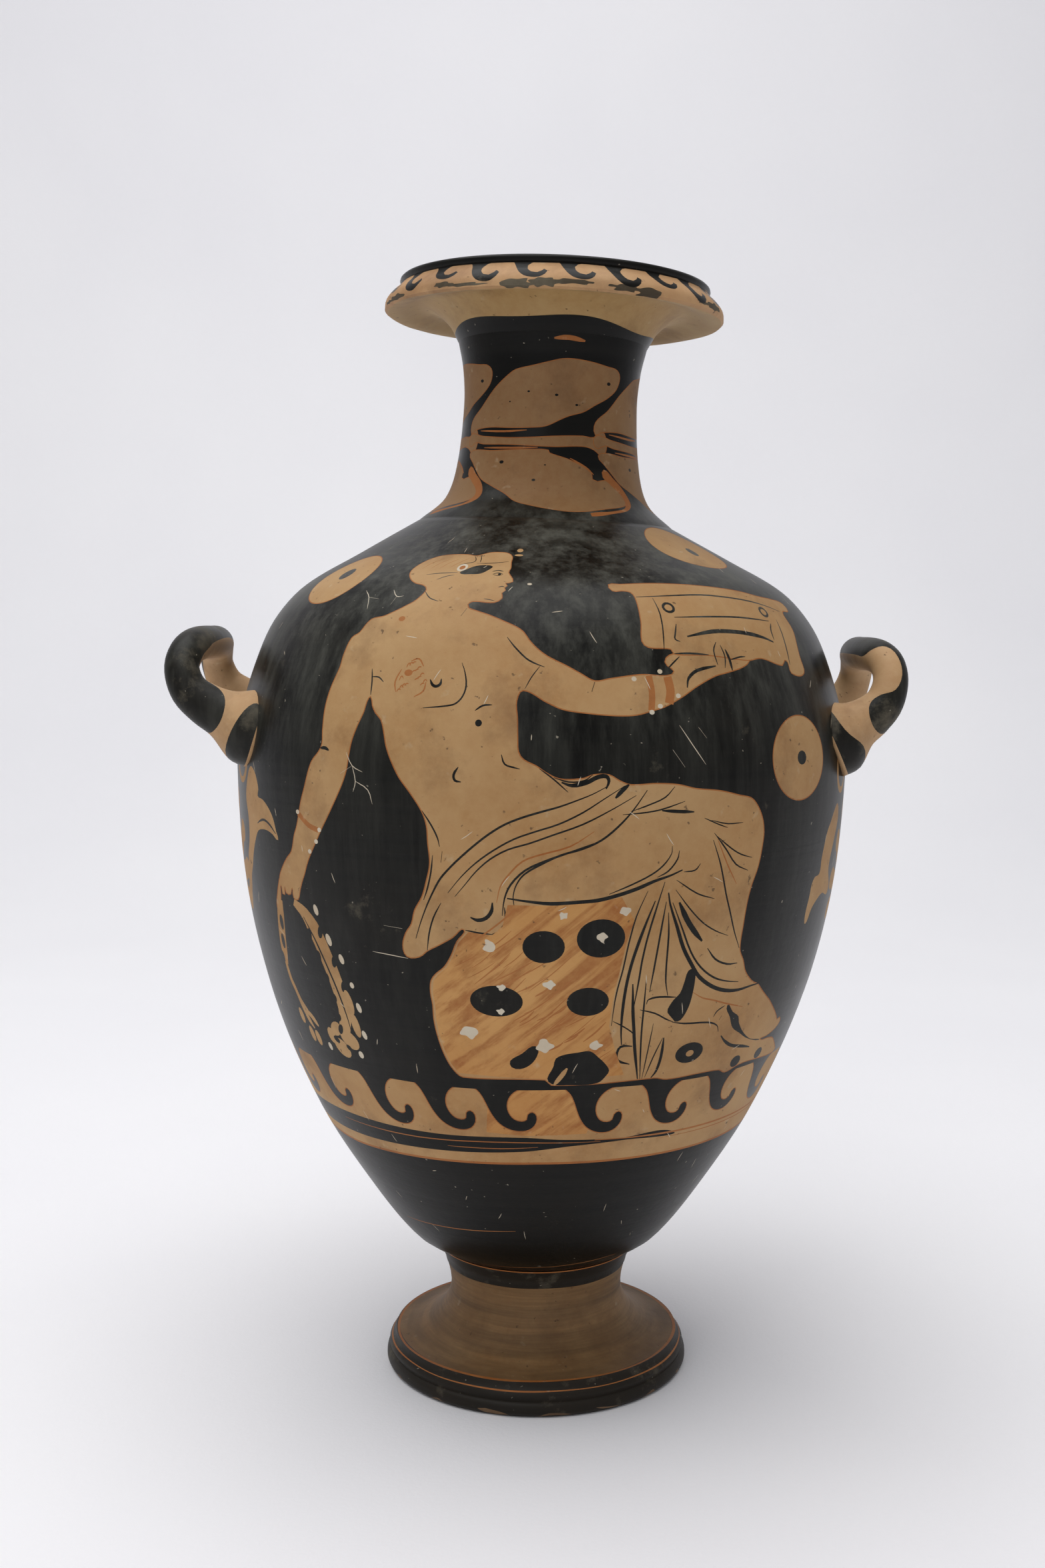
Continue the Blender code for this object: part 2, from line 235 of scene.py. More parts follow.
def slip_finish(name, tone, wear, gloss, dust_and_sheen=0.0):
    """Black slip: brushed rings, blotches, rubbed brown-grey patches, white pricks, dust and painted
    sheen.
    """
    made, tree, shader = finish_of(name, 0.16)
    rings = grain(tree, 60.0, 4.0, (0.25, 0.25, 9.0))
    brushed = grain(tree, 24.0, 7.0, (3.2, 3.2, 0.5), 0.65)
    blotches = grain(tree, 28.0, 5.0)
    worn = ramp(tree, grain(tree, 55.0, 8.0, roughness=0.72), (0.70 - wear, 0.0), (0.86 - wear, 1.0))
    pricks = ramp(tree, grain(tree, 900.0, 1.0), (0.77, 0.0), (0.80, 1.0))
    colour = mixed(tree, ramp(tree, rings, (0.35, 0.0), (0.75, 1.0)), shade(*tone),
                   shade(tone[0] + 8, tone[1] + 7, tone[2] + 5))
    colour = mixed(tree, ramp(tree, blotches, (0.45, 0.0), (0.75, 1.0)), colour,
                   shade(tone[0] + 12, tone[1] + 9, tone[2] + 6))
    place = node(tree, "ShaderNodeTexCoord", output="Object")
    high = node(tree, "ShaderNodeSeparateXYZ", {}, {0: place}, "Z")
    # Grey haze mixed into the slip: dust, and on the shoulder a painted sheen of the overhead lamp.
    shoulder = ((high - DUST_AND_SHEEN_SHOULDER) * 15.0).clamped()
    streaks = ramp(tree, grain(tree, 230.0, 6.0, (1.0, 1.0, 0.07), 0.7), (0.44, 0.0), (0.68, 1.0))
    haze_and_sheen = ramp(tree, brushed, (0.42, 0.0), (0.74, 1.0)) * 0.6 + streaks * 0.6
    below_neck = ((DUST_AND_SHEEN_NECK - high) * 60.0).clamped()
    above_foot = ((high - DUST_AND_SHEEN_FOOT) * 10.0).clamped()
    haze_and_sheen = (haze_and_sheen * (shoulder * 0.80 + above_foot * 0.20) * below_neck * dust_and_sheen).clamped()
    # The grey of the dust and the painted sheen.
    colour = mixed(tree, haze_and_sheen, colour, shade(96, 96, 88))
    colour = mixed(tree, worn * 0.75, colour, shade(104, 97, 82))
    colour = mixed(tree, pricks * 0.6, colour, shade(160, 152, 136))
    roughness = blotches * 0.22 + worn * 0.25 + haze_and_sheen * 0.15 + gloss
    feed(tree, shader, colour, roughness, rings * 0.6 + grain(tree, 500.0, 4.0) * 0.4, 0.00009)
    return made


def darker(tone, *shares):
    """A tone with its red, green and blue each taken down to a share."""
    return shade(*[int(part * share) for part, share in zip(tone, shares)])


def clay_finish(name, tone, spread, grime, rings=0.0, hatched=0.0):
    """Bare fired clay: warm blotches, fine grain, brown stain, dark pits and pale rubbed spots."""
    made, tree, shader = finish_of(name, 0.3)
    blotches = grain(tree, 35.0, 5.0)
    fine = grain(tree, 420.0, 6.0, roughness=0.7)
    ochre = ramp(tree, grain(tree, 22.0, 6.0, roughness=0.6), (0.42, 0.0), (0.66, 1.0))
    stain = ramp(tree, grain(tree, 48.0, 8.0, roughness=0.68), (0.62 - grime, 0.0), (0.82 - grime, 1.0))
    pits = ramp(tree, grain(tree, 620.0, 2.0), (0.70, 0.0), (0.76, 1.0))
    rubbed = ramp(tree, grain(tree, 240.0, 3.0), (0.66, 0.0), (0.76, 1.0))
    red, green, blue = tone
    colour = mixed(tree, ramp(tree, blotches, (0.30, 0.0), (0.72, 1.0)),
                   shade(red - spread, green - spread - 6, blue - spread - 8),
                   shade(red + spread, green + spread, blue + spread))
    colour = mixed(tree, ochre * 0.5, colour, shade(red - 8, int(green * 0.86), int(blue * 0.72)))
    if hatched:
        strokes = ramp(tree, grain(tree, 330.0, 5.0, (0.08, 0.5, 1.0), 0.62, hatched),
                       (0.45, 0.0), (0.60, 1.0))
        colour = mixed(tree, strokes * 0.8, colour, darker(tone, 0.78, 0.60, 0.42))
    colour = mixed(tree, ramp(tree, fine, (0.35, 0.0), (0.70, 1.0)) * 0.35, colour,
                   shade(red + 14, green + 16, blue + 14))
    colour = mixed(tree, stain * 0.5, colour, darker(tone, 0.62, 0.52, 0.45))
    colour = mixed(tree, rubbed * 0.35, colour, shade(190, 172, 140))
    colour = mixed(tree, pits * 0.65, colour, shade(62, 46, 30))
    if rings:
        turned = ramp(tree, grain(tree, 45.0, 6.0, (0.3, 0.3, 9.0), 0.7), (0.38, 0.0), (0.66, 1.0))
        colour = mixed(tree, turned * rings, colour, darker(tone, 0.6, 0.58, 0.56))
    feed(tree, shader, colour, fine * 0.2 + 0.52, fine * 0.7 - pits * 0.8, 0.00012)
    return made


# The body's slip takes the full haze of dust and painted sheen.
SLIP = slip_finish("black slip", (10, 10, 8), 0.06, 0.22, 1.0)
CLAY = clay_finish("bare clay", (172, 137, 92), 12, 0.10)
WASH = clay_finish("thinned slip", (156, 98, 48), 12, 0.06)
OCHRE = clay_finish("hatched clay", (184, 136, 78), 12, 0.05, hatched=math.radians(-40))
WHITE = clay_finish("white clay touches", (196, 186, 166), 8, 0.02)

# ---- Body ----------------------------------------------------------------------------------------
# The thrown belly with its floor and shoulder: a shell 4.5 mm thick. A flat sheet carries the
# painting in millimetres, across from the middle of the front and up from the foot, and is then
# wrapped round the outline and tipped with the jar's lean.
FOOT_HEIGHT = 0.0332
BODY_HEIGHT = 0.1933
BELLY_LEVEL = 0.1298
BODY_BASE_RADIUS = 0.0270
NECK_BASE_RADIUS = 0.0335
WALL = 0.0045
BODY_FLOOR = 0.0060
JOINT_GAP = 0.0003
BODY_BASE = FOOT_HEIGHT
BELLY = BODY_BASE + BELLY_LEVEL
BODY_TOP = BODY_BASE + BODY_HEIGHT
BOX_MARGIN = 0.00008             # how far the belly stays inside the solid's box
BELLY_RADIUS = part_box("body")[1].y - BOX_MARGIN
DRAWING_HEIGHT = 0.2332          # the drawing's height at the foot of the neck, up the outline
DRAWING_RADIUS = 0.0800          # how far out the drawing is measured round
BODY_MM = 1000 * DRAWING_RADIUS

BODY_LEAN_START = BODY_BASE + 0.0273
BODY_LEAN_LENGTH = 0.0500
BODY_LEAN = math.radians(1.0)
NECK_LEAN_LENGTH = 0.0175
NECK_LEAN_START = BODY_TOP - NECK_LEAN_LENGTH
NECK_LEAN = math.radians(1.25)


def rounded(before, start, end, after, spans):
    """The places from start to just short of end on a curve that runs on smoothly past both."""
    stride = (end - start).length
    leaving = (end - before).normalized() * stride
    arriving = (after - start).normalized() * stride
    places = []
    for step in range(spans):
        t = step / spans
        places.append(start * (2 * t**3 - 3 * t**2 + 1) + leaving * (t**3 - 2 * t**2 + t)
                      + end * (3 * t**2 - 2 * t**3) + arriving * (t**3 - t**2))
    return places


def smooth(points, spans=6):
    """A rounded line through the given points, with `spans` straight pieces between each pair."""
    corners = [Vector(p) for p in points]
    ends = [2 * corners[0] - corners[1], *corners, 2 * corners[-1] - corners[-2]]
    line = []
    for four in zip(ends, ends[1:], ends[2:], ends[3:]):
        line += rounded(*four, spans)
    return line + [corners[-1]]


def offset(line, distance):
    """The line moved sideways: away from the axis for a positive distance on a line that climbs."""
    moved = []
    for index, point in enumerate(line):
        along = (line[min(index + 1, len(line) - 1)] - line[max(index - 1, 0)]).normalized()
        moved.append(point + distance * Vector((along.y, -along.x)))
    return moved


def lengths(line):
    """How far along the line each of its points is."""
    total = [0.0]
    for start, end in zip(line, line[1:]):
        total.append(total[-1] + (end - start).length)
    return total


def body_outline():
    """The belly and shoulder, as (radius, height) places from the foot's collar to the neck."""
    rise = [(0.0, 0.0), (0.04, 0.145), (0.16, 0.365), (0.315, 0.595), (0.53, 0.815), (0.755, 0.95),
            (1.0, 1.0)]
    fall = [(0.22, 0.975), (0.44, 0.89), (0.60, 0.79), (0.735, 0.625), (0.865, 0.325), (1.0, 0.0)]
    points = [(BODY_BASE_RADIUS + out * (BELLY_RADIUS - BODY_BASE_RADIUS), BODY_BASE + up * BELLY_LEVEL)
              for up, out in rise]
    points += [(NECK_BASE_RADIUS + out * (BELLY_RADIUS - NECK_BASE_RADIUS),
                BELLY + up * (BODY_TOP - BELLY)) for up, out in fall]
    return smooth(points, 6)


def loop_line(points, step=1.0):
    """A closed rounded outline through the points, in steps of about a millimetre."""
    count = len(points)
    line = []
    for index in range(count):
        before, start = Vector(points[index - 1]), Vector(points[index])
        end, after = Vector(points[(index + 1) % count]), Vector(points[(index + 2) % count])
        line += rounded(before, start, end, after, max(1, round((end - start).length / step)))
    return line


def stroke(points, width, head=0.35, tail=0.35):
    """The outline of a brush line, as wide as `width` in its middle and thinner at its two ends."""
    line = [Vector(p) for p in points]
    if len(line) > 2:
        line = smooth(line, 3)
    run = lengths(line)
    left, right = [], []
    for index, point in enumerate(line):
        share = run[index] / run[-1]
        taper = min(1.0, head + (1 - head) * share / 0.25, tail + (1 - tail) * (1 - share) / 0.25)
        along = (line[min(index + 1, len(line) - 1)] - line[max(index - 1, 0)]).normalized()
        aside = Vector((-along.y, along.x)) * width * taper / 2
        left.append(point + aside)
        right.append(point - aside)
    return left + right[::-1]


def oval(u, s, half_across, half_up, turn=0.0):
    """The outline of an oval round (u, s), turned by so many degrees."""
    points = max(14, round(5 * max(half_across, half_up)))
    c, d = math.cos(math.radians(turn)), math.sin(math.radians(turn))
    loop = []
    for k in range(points):
        way = 2 * math.pi * k / points
        x, y = half_across * math.cos(way), half_up * math.sin(way)
        loop.append(Vector((u + x * c - y * d, s + x * d + y * c)))
    return loop


def band(radius_mm, low, high, wobble=0.0, waves=3, phase=0.0):
    """A ring all the way round between two heights, its edges wavering a little."""
    half = math.pi * radius_mm
    steps = max(24, round(2 * half / 3.0))
    across = [-half + 2 * half * k / steps for k in range(steps + 1)]

    def waver(u, shift):
        turn = u / radius_mm
        return wobble * (0.6 * math.sin(waves * turn + shift) + 0.4 * math.sin((2 * waves + 1) * turn))

    bottom = [Vector((u, low + waver(u, phase))) for u in across]
    top = [Vector((u, high + waver(u, phase + 1.7))) for u in across]
    return bottom + top[::-1]


def inside(loop, xs, ys):
    """Which of the places are inside the loop."""
    corners = np.array([(p[0], p[1]) for p in loop])
    answer = np.zeros(len(xs), bool)
    low, high = corners.min(axis=0), corners.max(axis=0)
    near = np.nonzero((xs >= low[0]) & (xs <= high[0]) & (ys >= low[1]) & (ys <= high[1]))[0]
    if not len(near):
        return answer
    x, y = xs[near], ys[near]
    odd = np.zeros(len(near), bool)
    for (ax, ay), (bx, by) in zip(corners, np.roll(corners, -1, axis=0)):
        if ay == by:
            continue
        crosses = (ay > y) != (by > y)
        odd ^= crosses & (x < (bx - ax) * (y - ay) / (by - ay) + ax)
    answer[near] = odd
    return answer


def clipped(loop, edge):
    """The part of a loop on the sheet's side of one of its side edges, at u = edge."""
    inner = 1 if edge > 0 else -1
    kept = []
    for start, end in zip(loop, [*loop[1:], *loop[:1]]):
        here, there = (edge - start[0]) * inner, (edge - end[0]) * inner
        if here >= 0:
            kept.append(Vector(start))
        if here * there < 0:
            kept.append(Vector((edge, start[1] + (end[1] - start[1]) * here / (here - there))))
    return kept


def stepped(loop, step=2.2):
    """The same loop with no stretch longer than a step, so that it bends round the piece."""
    fine = []
    for first, second in zip(loop, [*loop[1:], *loop[:1]]):
        count = math.ceil((second - first).length / step) if abs(second.x - first.x) > 0.01 else 1
        fine += [first.lerp(second, k / count) for k in range(count)]
    return fine


def sheet(name, radius_mm, rows, painting, base_paint, start_mm):
    """A flat sheet: rows are (height, spacing of its points across); painting is (loop, paint) pairs.

    Where a point of the sheet is inside several loops, the last one paints it.
    """
    half = math.pi * radius_mm
    outlines = [clipped(clipped([Vector((p[0], p[1] + start_mm)) for p in loop], half), -half)
                for loop, paint in painting]
    painting = [paint for loop, (_, paint) in zip(outlines, painting) if len(loop) > 2]
    outlines = [stepped(loop) for loop in outlines if len(loop) > 2]
    drawn = [p for loop in outlines for p in loop]
    near = KDTree(len(drawn))
    for index, p in enumerate(drawn):
        near.insert((p[0], p[1], 0.0), index)
    near.balance()
    points, edges = list(drawn), []
    start = 0
    for loop in outlines:
        count = len(loop)
        edges += [(start + k, start + (k + 1) % count) for k in range(count)]
        start += count
    for row, (height, spacing, hard) in enumerate(rows):
        count = max(12, round(2 * half / spacing / 12) * 12)
        first = len(points)
        edge_row = hard or row in (0, len(rows) - 1)
        for k in range(count + 1):
            u = -half + 2 * half * k / count
            if edge_row or k in (0, count) or near.find((u, height, 0.0))[2] > 0.5:
                points.append(Vector((u, height)))
        if edge_row:
            edges += [(k, k + 1) for k in range(first, len(points) - 1)]
    flat, _, triangles, _, _, _ = delaunay_2d_cdt(points, edges, [], 0, 0.00001)
    flat = np.array([(p[0], p[1]) for p in flat])
    triangles = np.array([t for t in triangles if len(t) == 3])
    middles = flat[triangles].mean(axis=1)
    paint = np.array([base_paint(y - start_mm) for y in middles[:, 1]])
    for loop, colour in zip(outlines, painting):
        paint[inside(loop, middles[:, 0], middles[:, 1])] = colour
    piece = mesh_piece(name, [(x / 1000, y / 1000, 0.0) for x, y in flat], triangles.tolist())
    marks = piece.data.attributes.new("paint", "INT", "FACE")
    marks.data.foreach_set("value", paint.astype(np.int32))
    piece.data.shade_smooth()
    return piece


def sagged(height, start, length, angle):
    """Nodes for how far a bend has carried a ring sideways at a height, and its tilt there."""
    above = height - start
    share = (above / length).clamped()
    return share**3.0 * (length * angle / 3) + (above - length).least(0.0) * angle, share**2.0 * angle


def leant(tree, across, front, height):
    """Nodes that tip a place with the jar round its two bends."""
    low, low_tilt = sagged(height, BODY_LEAN_START, BODY_LEAN_LENGTH, BODY_LEAN)
    high, high_tilt = sagged(height, NECK_LEAN_START, NECK_LEAN_LENGTH, NECK_LEAN)
    tilt = low_tilt + high_tilt
    return node(tree, "ShaderNodeCombineXYZ", {}, {
        "X": low + high + across * tilt.maths("COSINE", tilt), "Y": front,
        "Z": height - across * tilt.maths("SINE", tilt)})


def tree_with(name, *sockets):
    """A Geometry Nodes tree with the given named inputs, its group input and the geometry."""
    made = bpy.data.node_groups.new(name, "GeometryNodeTree")
    made.interface.new_socket("Geometry", in_out="OUTPUT", socket_type="NodeSocketGeometry")
    made.interface.new_socket("Geometry", in_out="INPUT", socket_type="NodeSocketGeometry")
    for label, kind in sockets:
        made.interface.new_socket(label, in_out="INPUT", socket_type=kind)
    return made, node(made, "NodeGroupInput")


def separate(tree, vector):
    """The three parts of a vector."""
    parts = node(tree, "ShaderNodeSeparateXYZ", {}, {0: vector})
    return parts, parts.other("Y"), parts.other("Z")


PAINTS = ("Slip", "Clay", "Wash", "White", "Ochre")


def close_tree(tree, geometry, entry):
    """Weld the wrapped sheet, give each paint its material and send the result out."""
    geometry = node(tree, "GeometryNodeMergeByDistance", {},
                    {0: geometry, "Distance": entry.other("Weld")})
    geometry = node(tree, "GeometryNodeRealizeInstances", {}, {0: geometry})
    for number, label in enumerate(PAINTS):
        mark = node(tree, "GeometryNodeInputNamedAttribute", {"data_type": "INT"}, {"Name": "paint"})
        chosen = node(tree, "FunctionNodeCompare", {"data_type": "INT", "operation": "EQUAL"},
                      {2: mark, 3: number})
        geometry = node(tree, "GeometryNodeSetMaterial", {},
                        {0: geometry, "Selection": chosen, "Material": entry.other(label)})
    way_out = tree.nodes.new("NodeGroupOutput")
    tree.links.new(geometry.socket, way_out.inputs[0])


def wheel_tree():
    """Wraps a flat sheet round an outline: across becomes the turn, up the way along the outline."""
    tree, entry = tree_with("turned on the wheel", ("Outline", "NodeSocketObject"),
                            ("Drawing Radius", "NodeSocketFloat"), ("Weld", "NodeSocketFloat"),
                            *[(label, "NodeSocketMaterial") for label in PAINTS])
    across, along, lift = separate(tree, node(tree, "GeometryNodeInputPosition"))
    outline = node(tree, "GeometryNodeObjectInfo", {}, {0: entry.other("Outline")}, "Geometry")
    found = node(tree, "GeometryNodeSampleCurve", {"mode": "LENGTH"},
                 {"Curves": outline, "Length": along}, "Position")
    radius, _, height = separate(tree, found)
    turn = across / entry.other("Drawing Radius")
    place = leant(tree, radius * turn.maths("SINE", turn), radius * turn.maths("COSINE", turn) * -1.0,
                  height)
    wrapped = node(tree, "GeometryNodeSetPosition", {},
                   {0: entry.other("Geometry"), "Position": place})
    close_tree(tree, wrapped, entry)
    return tree


WHEEL_WELD = 0.000012
SLIVER = 0.000002                # edges shorter than this are taken out
SHARP_EDGE = math.radians(38)


def shaped(piece, tree, **values):
    """Make the piece a plain mesh by running the tree on it with the named inputs."""
    modifier = piece.modifiers.new(tree.name, "NODES")
    modifier.node_group = tree
    for item in tree.interface.items_tree:
        key = item.name.replace(" ", "_").lower()
        if item.in_out == "INPUT" and key in values:
            modifier[item.identifier] = values[key]
    bpy.context.view_layer.update()
    graph = bpy.context.evaluated_depsgraph_get()
    mesh = bpy.data.meshes.new_from_object(piece.evaluated_get(graph))
    piece.modifiers.remove(modifier)
    piece.data = mesh
    for mark in [a.name for a in mesh.attributes if a.name == "paint"]:
        mesh.attributes.remove(mesh.attributes[mark])
    welded = bmesh.new()
    welded.from_mesh(mesh)
    bmesh.ops.dissolve_degenerate(welded, edges=welded.edges, dist=SLIVER)
    welded.to_mesh(mesh)
    welded.free()
    mesh.shade_smooth()
    mesh.set_sharp_from_angle(angle=SHARP_EDGE)


def guide(name, path):
    """A curve for a tree to follow, through (place, thickness) pairs."""
    curve = bpy.data.curves.new(name, "CURVE")
    curve.dimensions = "3D"
    spline = curve.splines.new("POLY")
    spline.points.add(len(path) - 1)
    for point, (place, thickness) in zip(spline.points, path):
        point.co = (*place, 1.0)
        point.radius = thickness
    made = bpy.data.objects.new(name, curve)
    bpy.context.scene.collection.objects.link(made)
    return made


WHEEL = wheel_tree()


def turned_piece(name, line, radius, rows, painting, base_paint, start, paints, replaced):
    """Turn one painted piece of the jar and fix it to the frame."""
    outline = guide(name + " outline", [((out, 0.0, up), 1.0) for out, up in line])
    piece = sheet(name, radius * 1000, rows, painting, base_paint, start * 1000)
    shaped(piece, WHEEL, outline=outline, drawing_radius=radius, weld=WHEEL_WELD,
           slip=paints[0], clay=paints[1], wash=paints[2], white=paints[3], ochre=OCHRE)
    bpy.data.objects.remove(outline, do_unlink=True)
    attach(piece, "root")
    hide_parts(replaced)


def rows_between(low, high, spacing, across):
    """Rows for a sheet from low to high; the first and last are kept as edges of the mesh."""
    count = max(1, round((high - low) / spacing))
    return [(low + (high - low) * k / count, across, k in (0, count)) for k in range(count + 1)]


def matched(rows):
    """The rows of a closed outline: its last row is divided like its first, so that the two weld."""
    return [*rows[:-1], (rows[-1][0], *rows[0][1:])]


def stacked(*groups):
    """Rows from several groups, the shared ends kept once."""
    rows = {}
    for group in groups:
        for height, across, hard in group:
            key = round(height, 4)
            if key not in rows or hard:
                rows[key] = (height, across if key not in rows else min(across, rows[key][1]), hard)
    return [rows[key] for key in sorted(rows)]


BLACK, BARE, BROWN, PALE, HATCHED = range(5)
EDGE = 0.28                      # the brown line where the slip thins out round a bare shape
painting = []


def swollen(loop, distance):
    """The loop grown outwards all round."""
    area = sum(a[0] * b[1] - b[0] * a[1] for a, b in zip(loop, [*loop[1:], loop[0]]))
    grown = []
    for index, point in enumerate(loop):
        along = loop[(index + 1) % len(loop)] - loop[index - 1]
        aside = Vector((along.y, -along.x)).normalized() * math.copysign(distance, area)
        grown.append(point + aside)
    return grown


def fill(points, paint=BARE, edge=0.0):
    """Paint a rounded shape, over a brown line round it if it has an edge."""
    if edge:
        painting.append((swollen(loop_line(points), edge), BROWN))
    painting.append((loop_line(points), paint))


def line(points, width=0.45, paint=BLACK, head=0.35, tail=0.35):
    """Paint a brush line through the points."""
    painting.append((stroke(points, width, head, tail), paint))


def spot(u, s, half_across, half_up, paint=BLACK, turn=0.0, edge=0.0):
    """Paint an oval, over a brown line round it if it has an edge."""
    if edge:
        painting.append((oval(u, s, half_across + edge, half_up + edge, turn), BROWN))
    painting.append((oval(u, s, half_across, half_up, turn), paint))


def ragged(u, s, across, up, paint=PALE, points=9):
    """A patch with an uneven edge."""
    loop = []
    for number in range(points):
        turn = 2 * math.pi * number / points
        reach = 0.84 + 0.18 * math.sin(2.7 * number + u) + 0.10 * math.cos(4.1 * number + s)
        loop.append((u + across * reach * math.cos(turn), s + up * reach * math.sin(turn)))
    painting.append((loop_line(loop, 0.5), paint))


# The bare band round the belly, with its double dark line, and the running waves that hang into it.
SEAM = math.pi * BODY_MM
band_low = [(270, 53), (SEAM, 53), (150, 53), (90, 53.1), (30, 53.3), (0, 53.3), (-40, 52.3),
            (-75, 51.4), (-120, 52.2), (-SEAM, 53), (-270, 53)]
painting.append(([Vector((u, s - 0.7)) for u, s in band_low]
                 + [Vector((u, s)) for u, s in band_low[::-1]], BROWN))
painting.append(([Vector((-270, 76)), Vector((270, 76))] + [Vector(p) for p in band_low], BARE))
fill([(-270, 60.0), (-SEAM, 60.0), (-180, 60.2), (-120, 60.6), (-75, 61.0), (-34, 60.6), (-5, 61.2),
      (8, 60.5), (26, 60.0), (46, 59.7), (28, 59.2), (10, 58.3), (-5, 56.7), (-34, 55.3), (-75, 54.5),
      (-120, 55.2), (-160, 56), (-200, 56.2), (-SEAM, 56.2), (-270, 56.2)], BLACK)
fill([(270, 60.0), (SEAM, 60.0), (190, 60.4), (150, 60.2), (118, 59.9), (150, 57.2), (190, 56.2),
      (SEAM, 56.2), (270, 56.2)], BLACK)
line([(18, 60.0), (50, 59.6), (90, 59.6), (125, 59.9)], 0.6, BROWN)
line([(40, 58.3), (70, 58.2), (110, 58.5)], 0.3, BROWN)
line([(-75, 58.6), (-40, 58.6), (-10, 59.6), (20, 59.4)], 0.3, BROWN)
line([(-30, 57.1), (-12, 57.5), (0, 58.2)], 0.25, BROWN)
WAVE = [(-14.5, 77.2), (-12.6, 75.9), (-10.8, 74.2), (-9.6, 72.0), (-8.6, 69.6), (-7.4, 67.2),
        (-5.4, 64.8), (-2.4, 63.2), (1.2, 62.8), (3.9, 63.7), (5.3, 65.5), (5.4, 67.6), (4.2, 68.7),
        (2.9, 67.9), (2.6, 66.4), (1.0, 65.8), (-1.2, 66.4), (-2.8, 68.4), (-3.2, 70.6), (-2.6, 72.8),
        (-0.9, 74.8), (1.6, 76.0), (4.6, 76.6), (4.8, 77.2)]
painting.append(([Vector(p) for p in ((-16, 62.5), (-4, 61.8), (15, 62.2), (17, 70), (14, 77),
                                      (-14, 77))], HATCHED))
painting.append((band(BODY_MM, 75.5, 78.5, 0.3), BLACK))
curls = [-226, -204, -182, -159, -137, -115, -92.5, -70, -45, -24.5, -6, 20, 42.5, 65, 87, 110, 132,
         154.5, 177, 199, 221, 243]
waves = [[(middle + u, s + 0.5 * math.sin(2.1 * number) * (78 - s) / 14) for u, s in WAVE]
         for number, middle in enumerate(curls)]
for wave in waves:
    painting.insert(-1, (swollen(loop_line(wave), EDGE), BROWN))
for wave in waves:
    fill(wave, BLACK)
line([(-75, 24), (-40, 25.4), (-10, 27)], 0.28, BROWN)
line([(-40, 7.5), (0, 8.8), (50, 12.6)], 0.3, BROWN)

# The seated figure, the rock and the ledge in one outline: over the hair, down the face and the
# arm with the casket, down the lap to the foot, back along the ground and up the other arm.
hair = [(-37.5, 198.6), (-41, 199.5), (-44, 201.3), (-46.3, 204), (-46.5, 206.5), (-45, 209.5),
        (-42.5, 211.5), (-39, 212.6), (-34, 213), (-30, 212.9), (-26.5, 212.3), (-24.5, 213),
        (-22, 214), (-18, 214.3), (-14.5, 213.7), (-12.8, 212)]
face = [(-12.6, 209.3), (-12.1, 206.2), (-12.4, 204.2), (-10.4, 200.3), (-12.5, 199.6), (-11.8, 198.6),
        (-12.5, 197.9), (-12.1, 197.1), (-13, 196.1), (-12.6, 194.5), (-14.5, 193.2), (-20.5, 193.4),
        (-21.8, 192.4)]
arm_top = [(-21.3, 191.3), (-18.5, 190.3), (-15, 189.2), (-11.5, 187.8), (-8, 186.3), (-6, 185),
           (-4.5, 183), (-2.5, 181), (0, 179.2), (5, 176.8), (8, 175.2), (11.4, 173.5), (15.3, 174.1),
           (23.1, 175.1), (29.6, 174.9), (31.7, 176), (29.6, 178.3), (32.1, 180.1), (42, 180.4),
           (54.9, 179.4)]
arm_low = [(55.3, 178.6), (52.4, 177.2), (47.4, 176), (43.1, 175.1), (37.4, 172.7), (33.1, 170.3),
           (28.1, 167.9), (24.6, 166.9), (21, 166), (16.7, 165.8), (9.6, 166.3), (3.9, 167.1),
           (0.3, 168.6), (-5.4, 171.3)]
side = [(-6.9, 168.8), (-6.6, 164.8), (-6.4, 160.6), (-6.1, 157.2), (-4.9, 155.5), (-2, 154.1),
        (0.1, 152.7), (3.3, 151.3), (8.7, 151.5), (10.7, 152.3), (14.3, 152.3), (16.7, 151),
        (19.3, 150.1), (25.3, 150.3), (30.7, 150), (35.3, 149), (42, 148.3), (48, 147), (51.3, 146.3),
        (53.3, 144.7), (55.3, 141.7), (56.2, 138.5), (56.1, 135.3), (55.2, 130), (53.7, 125.9),
        (52.8, 121.8), (52.5, 116.5), (52.7, 110), (54.6, 107), (56.4, 103.8), (59.9, 100.9),
        (62.8, 99.7), (65.2, 97.9), (68.1, 95.9), (70.5, 94.4), (74, 91.8), (76.4, 90), (78.7, 88.2),
        (79.9, 87.1), (81.4, 87.5), (82.7, 86.2), (81.6, 85), (79.9, 84.2), (76.4, 83.4), (72.8, 82.8),
        (78.1, 82.1), (81.6, 81.5), (85.8, 79.1), (88.1, 77.6), (89.6, 76.5), (85.8, 76.2),
        (78.7, 76.6), (69.9, 77.1), (65.2, 76.8), (59.9, 75.6), (56.9, 76.8), (49.3, 77.1),
        (37.5, 76.8), (33.4, 77.6), (3.6, 77.1), (1.8, 78.6)]
rock_edge = [(-21.1, 78.5), (-22.7, 79.4), (-24.5, 81.8), (-25.8, 84.9), (-26.9, 89.2), (-27.4, 93.4),
             (-27.3, 97), (-27.6, 100.2), (-27.2, 103.1), (-25.8, 104.9), (-23.5, 106.8), (-21.6, 109.7),
             (-20.1, 113.1), (-18.2, 116.4)]
back = [(-21.3, 114.3), (-24.7, 112.3), (-27.7, 110.7), (-30, 109), (-33.2, 108.8), (-34, 111.3),
        (-33, 114.3), (-31.3, 116.7), (-30.3, 120), (-28.3, 123.3), (-27, 127.3), (-26.1, 131.3),
        (-26.5, 136), (-26.8, 140), (-28, 143.3), (-31, 147.5), (-33.6, 150.6), (-35.7, 154.1),
        (-37.3, 157.5), (-38.3, 160.9), (-39.4, 163.5), (-41.2, 165.1), (-42.3, 166.7)]
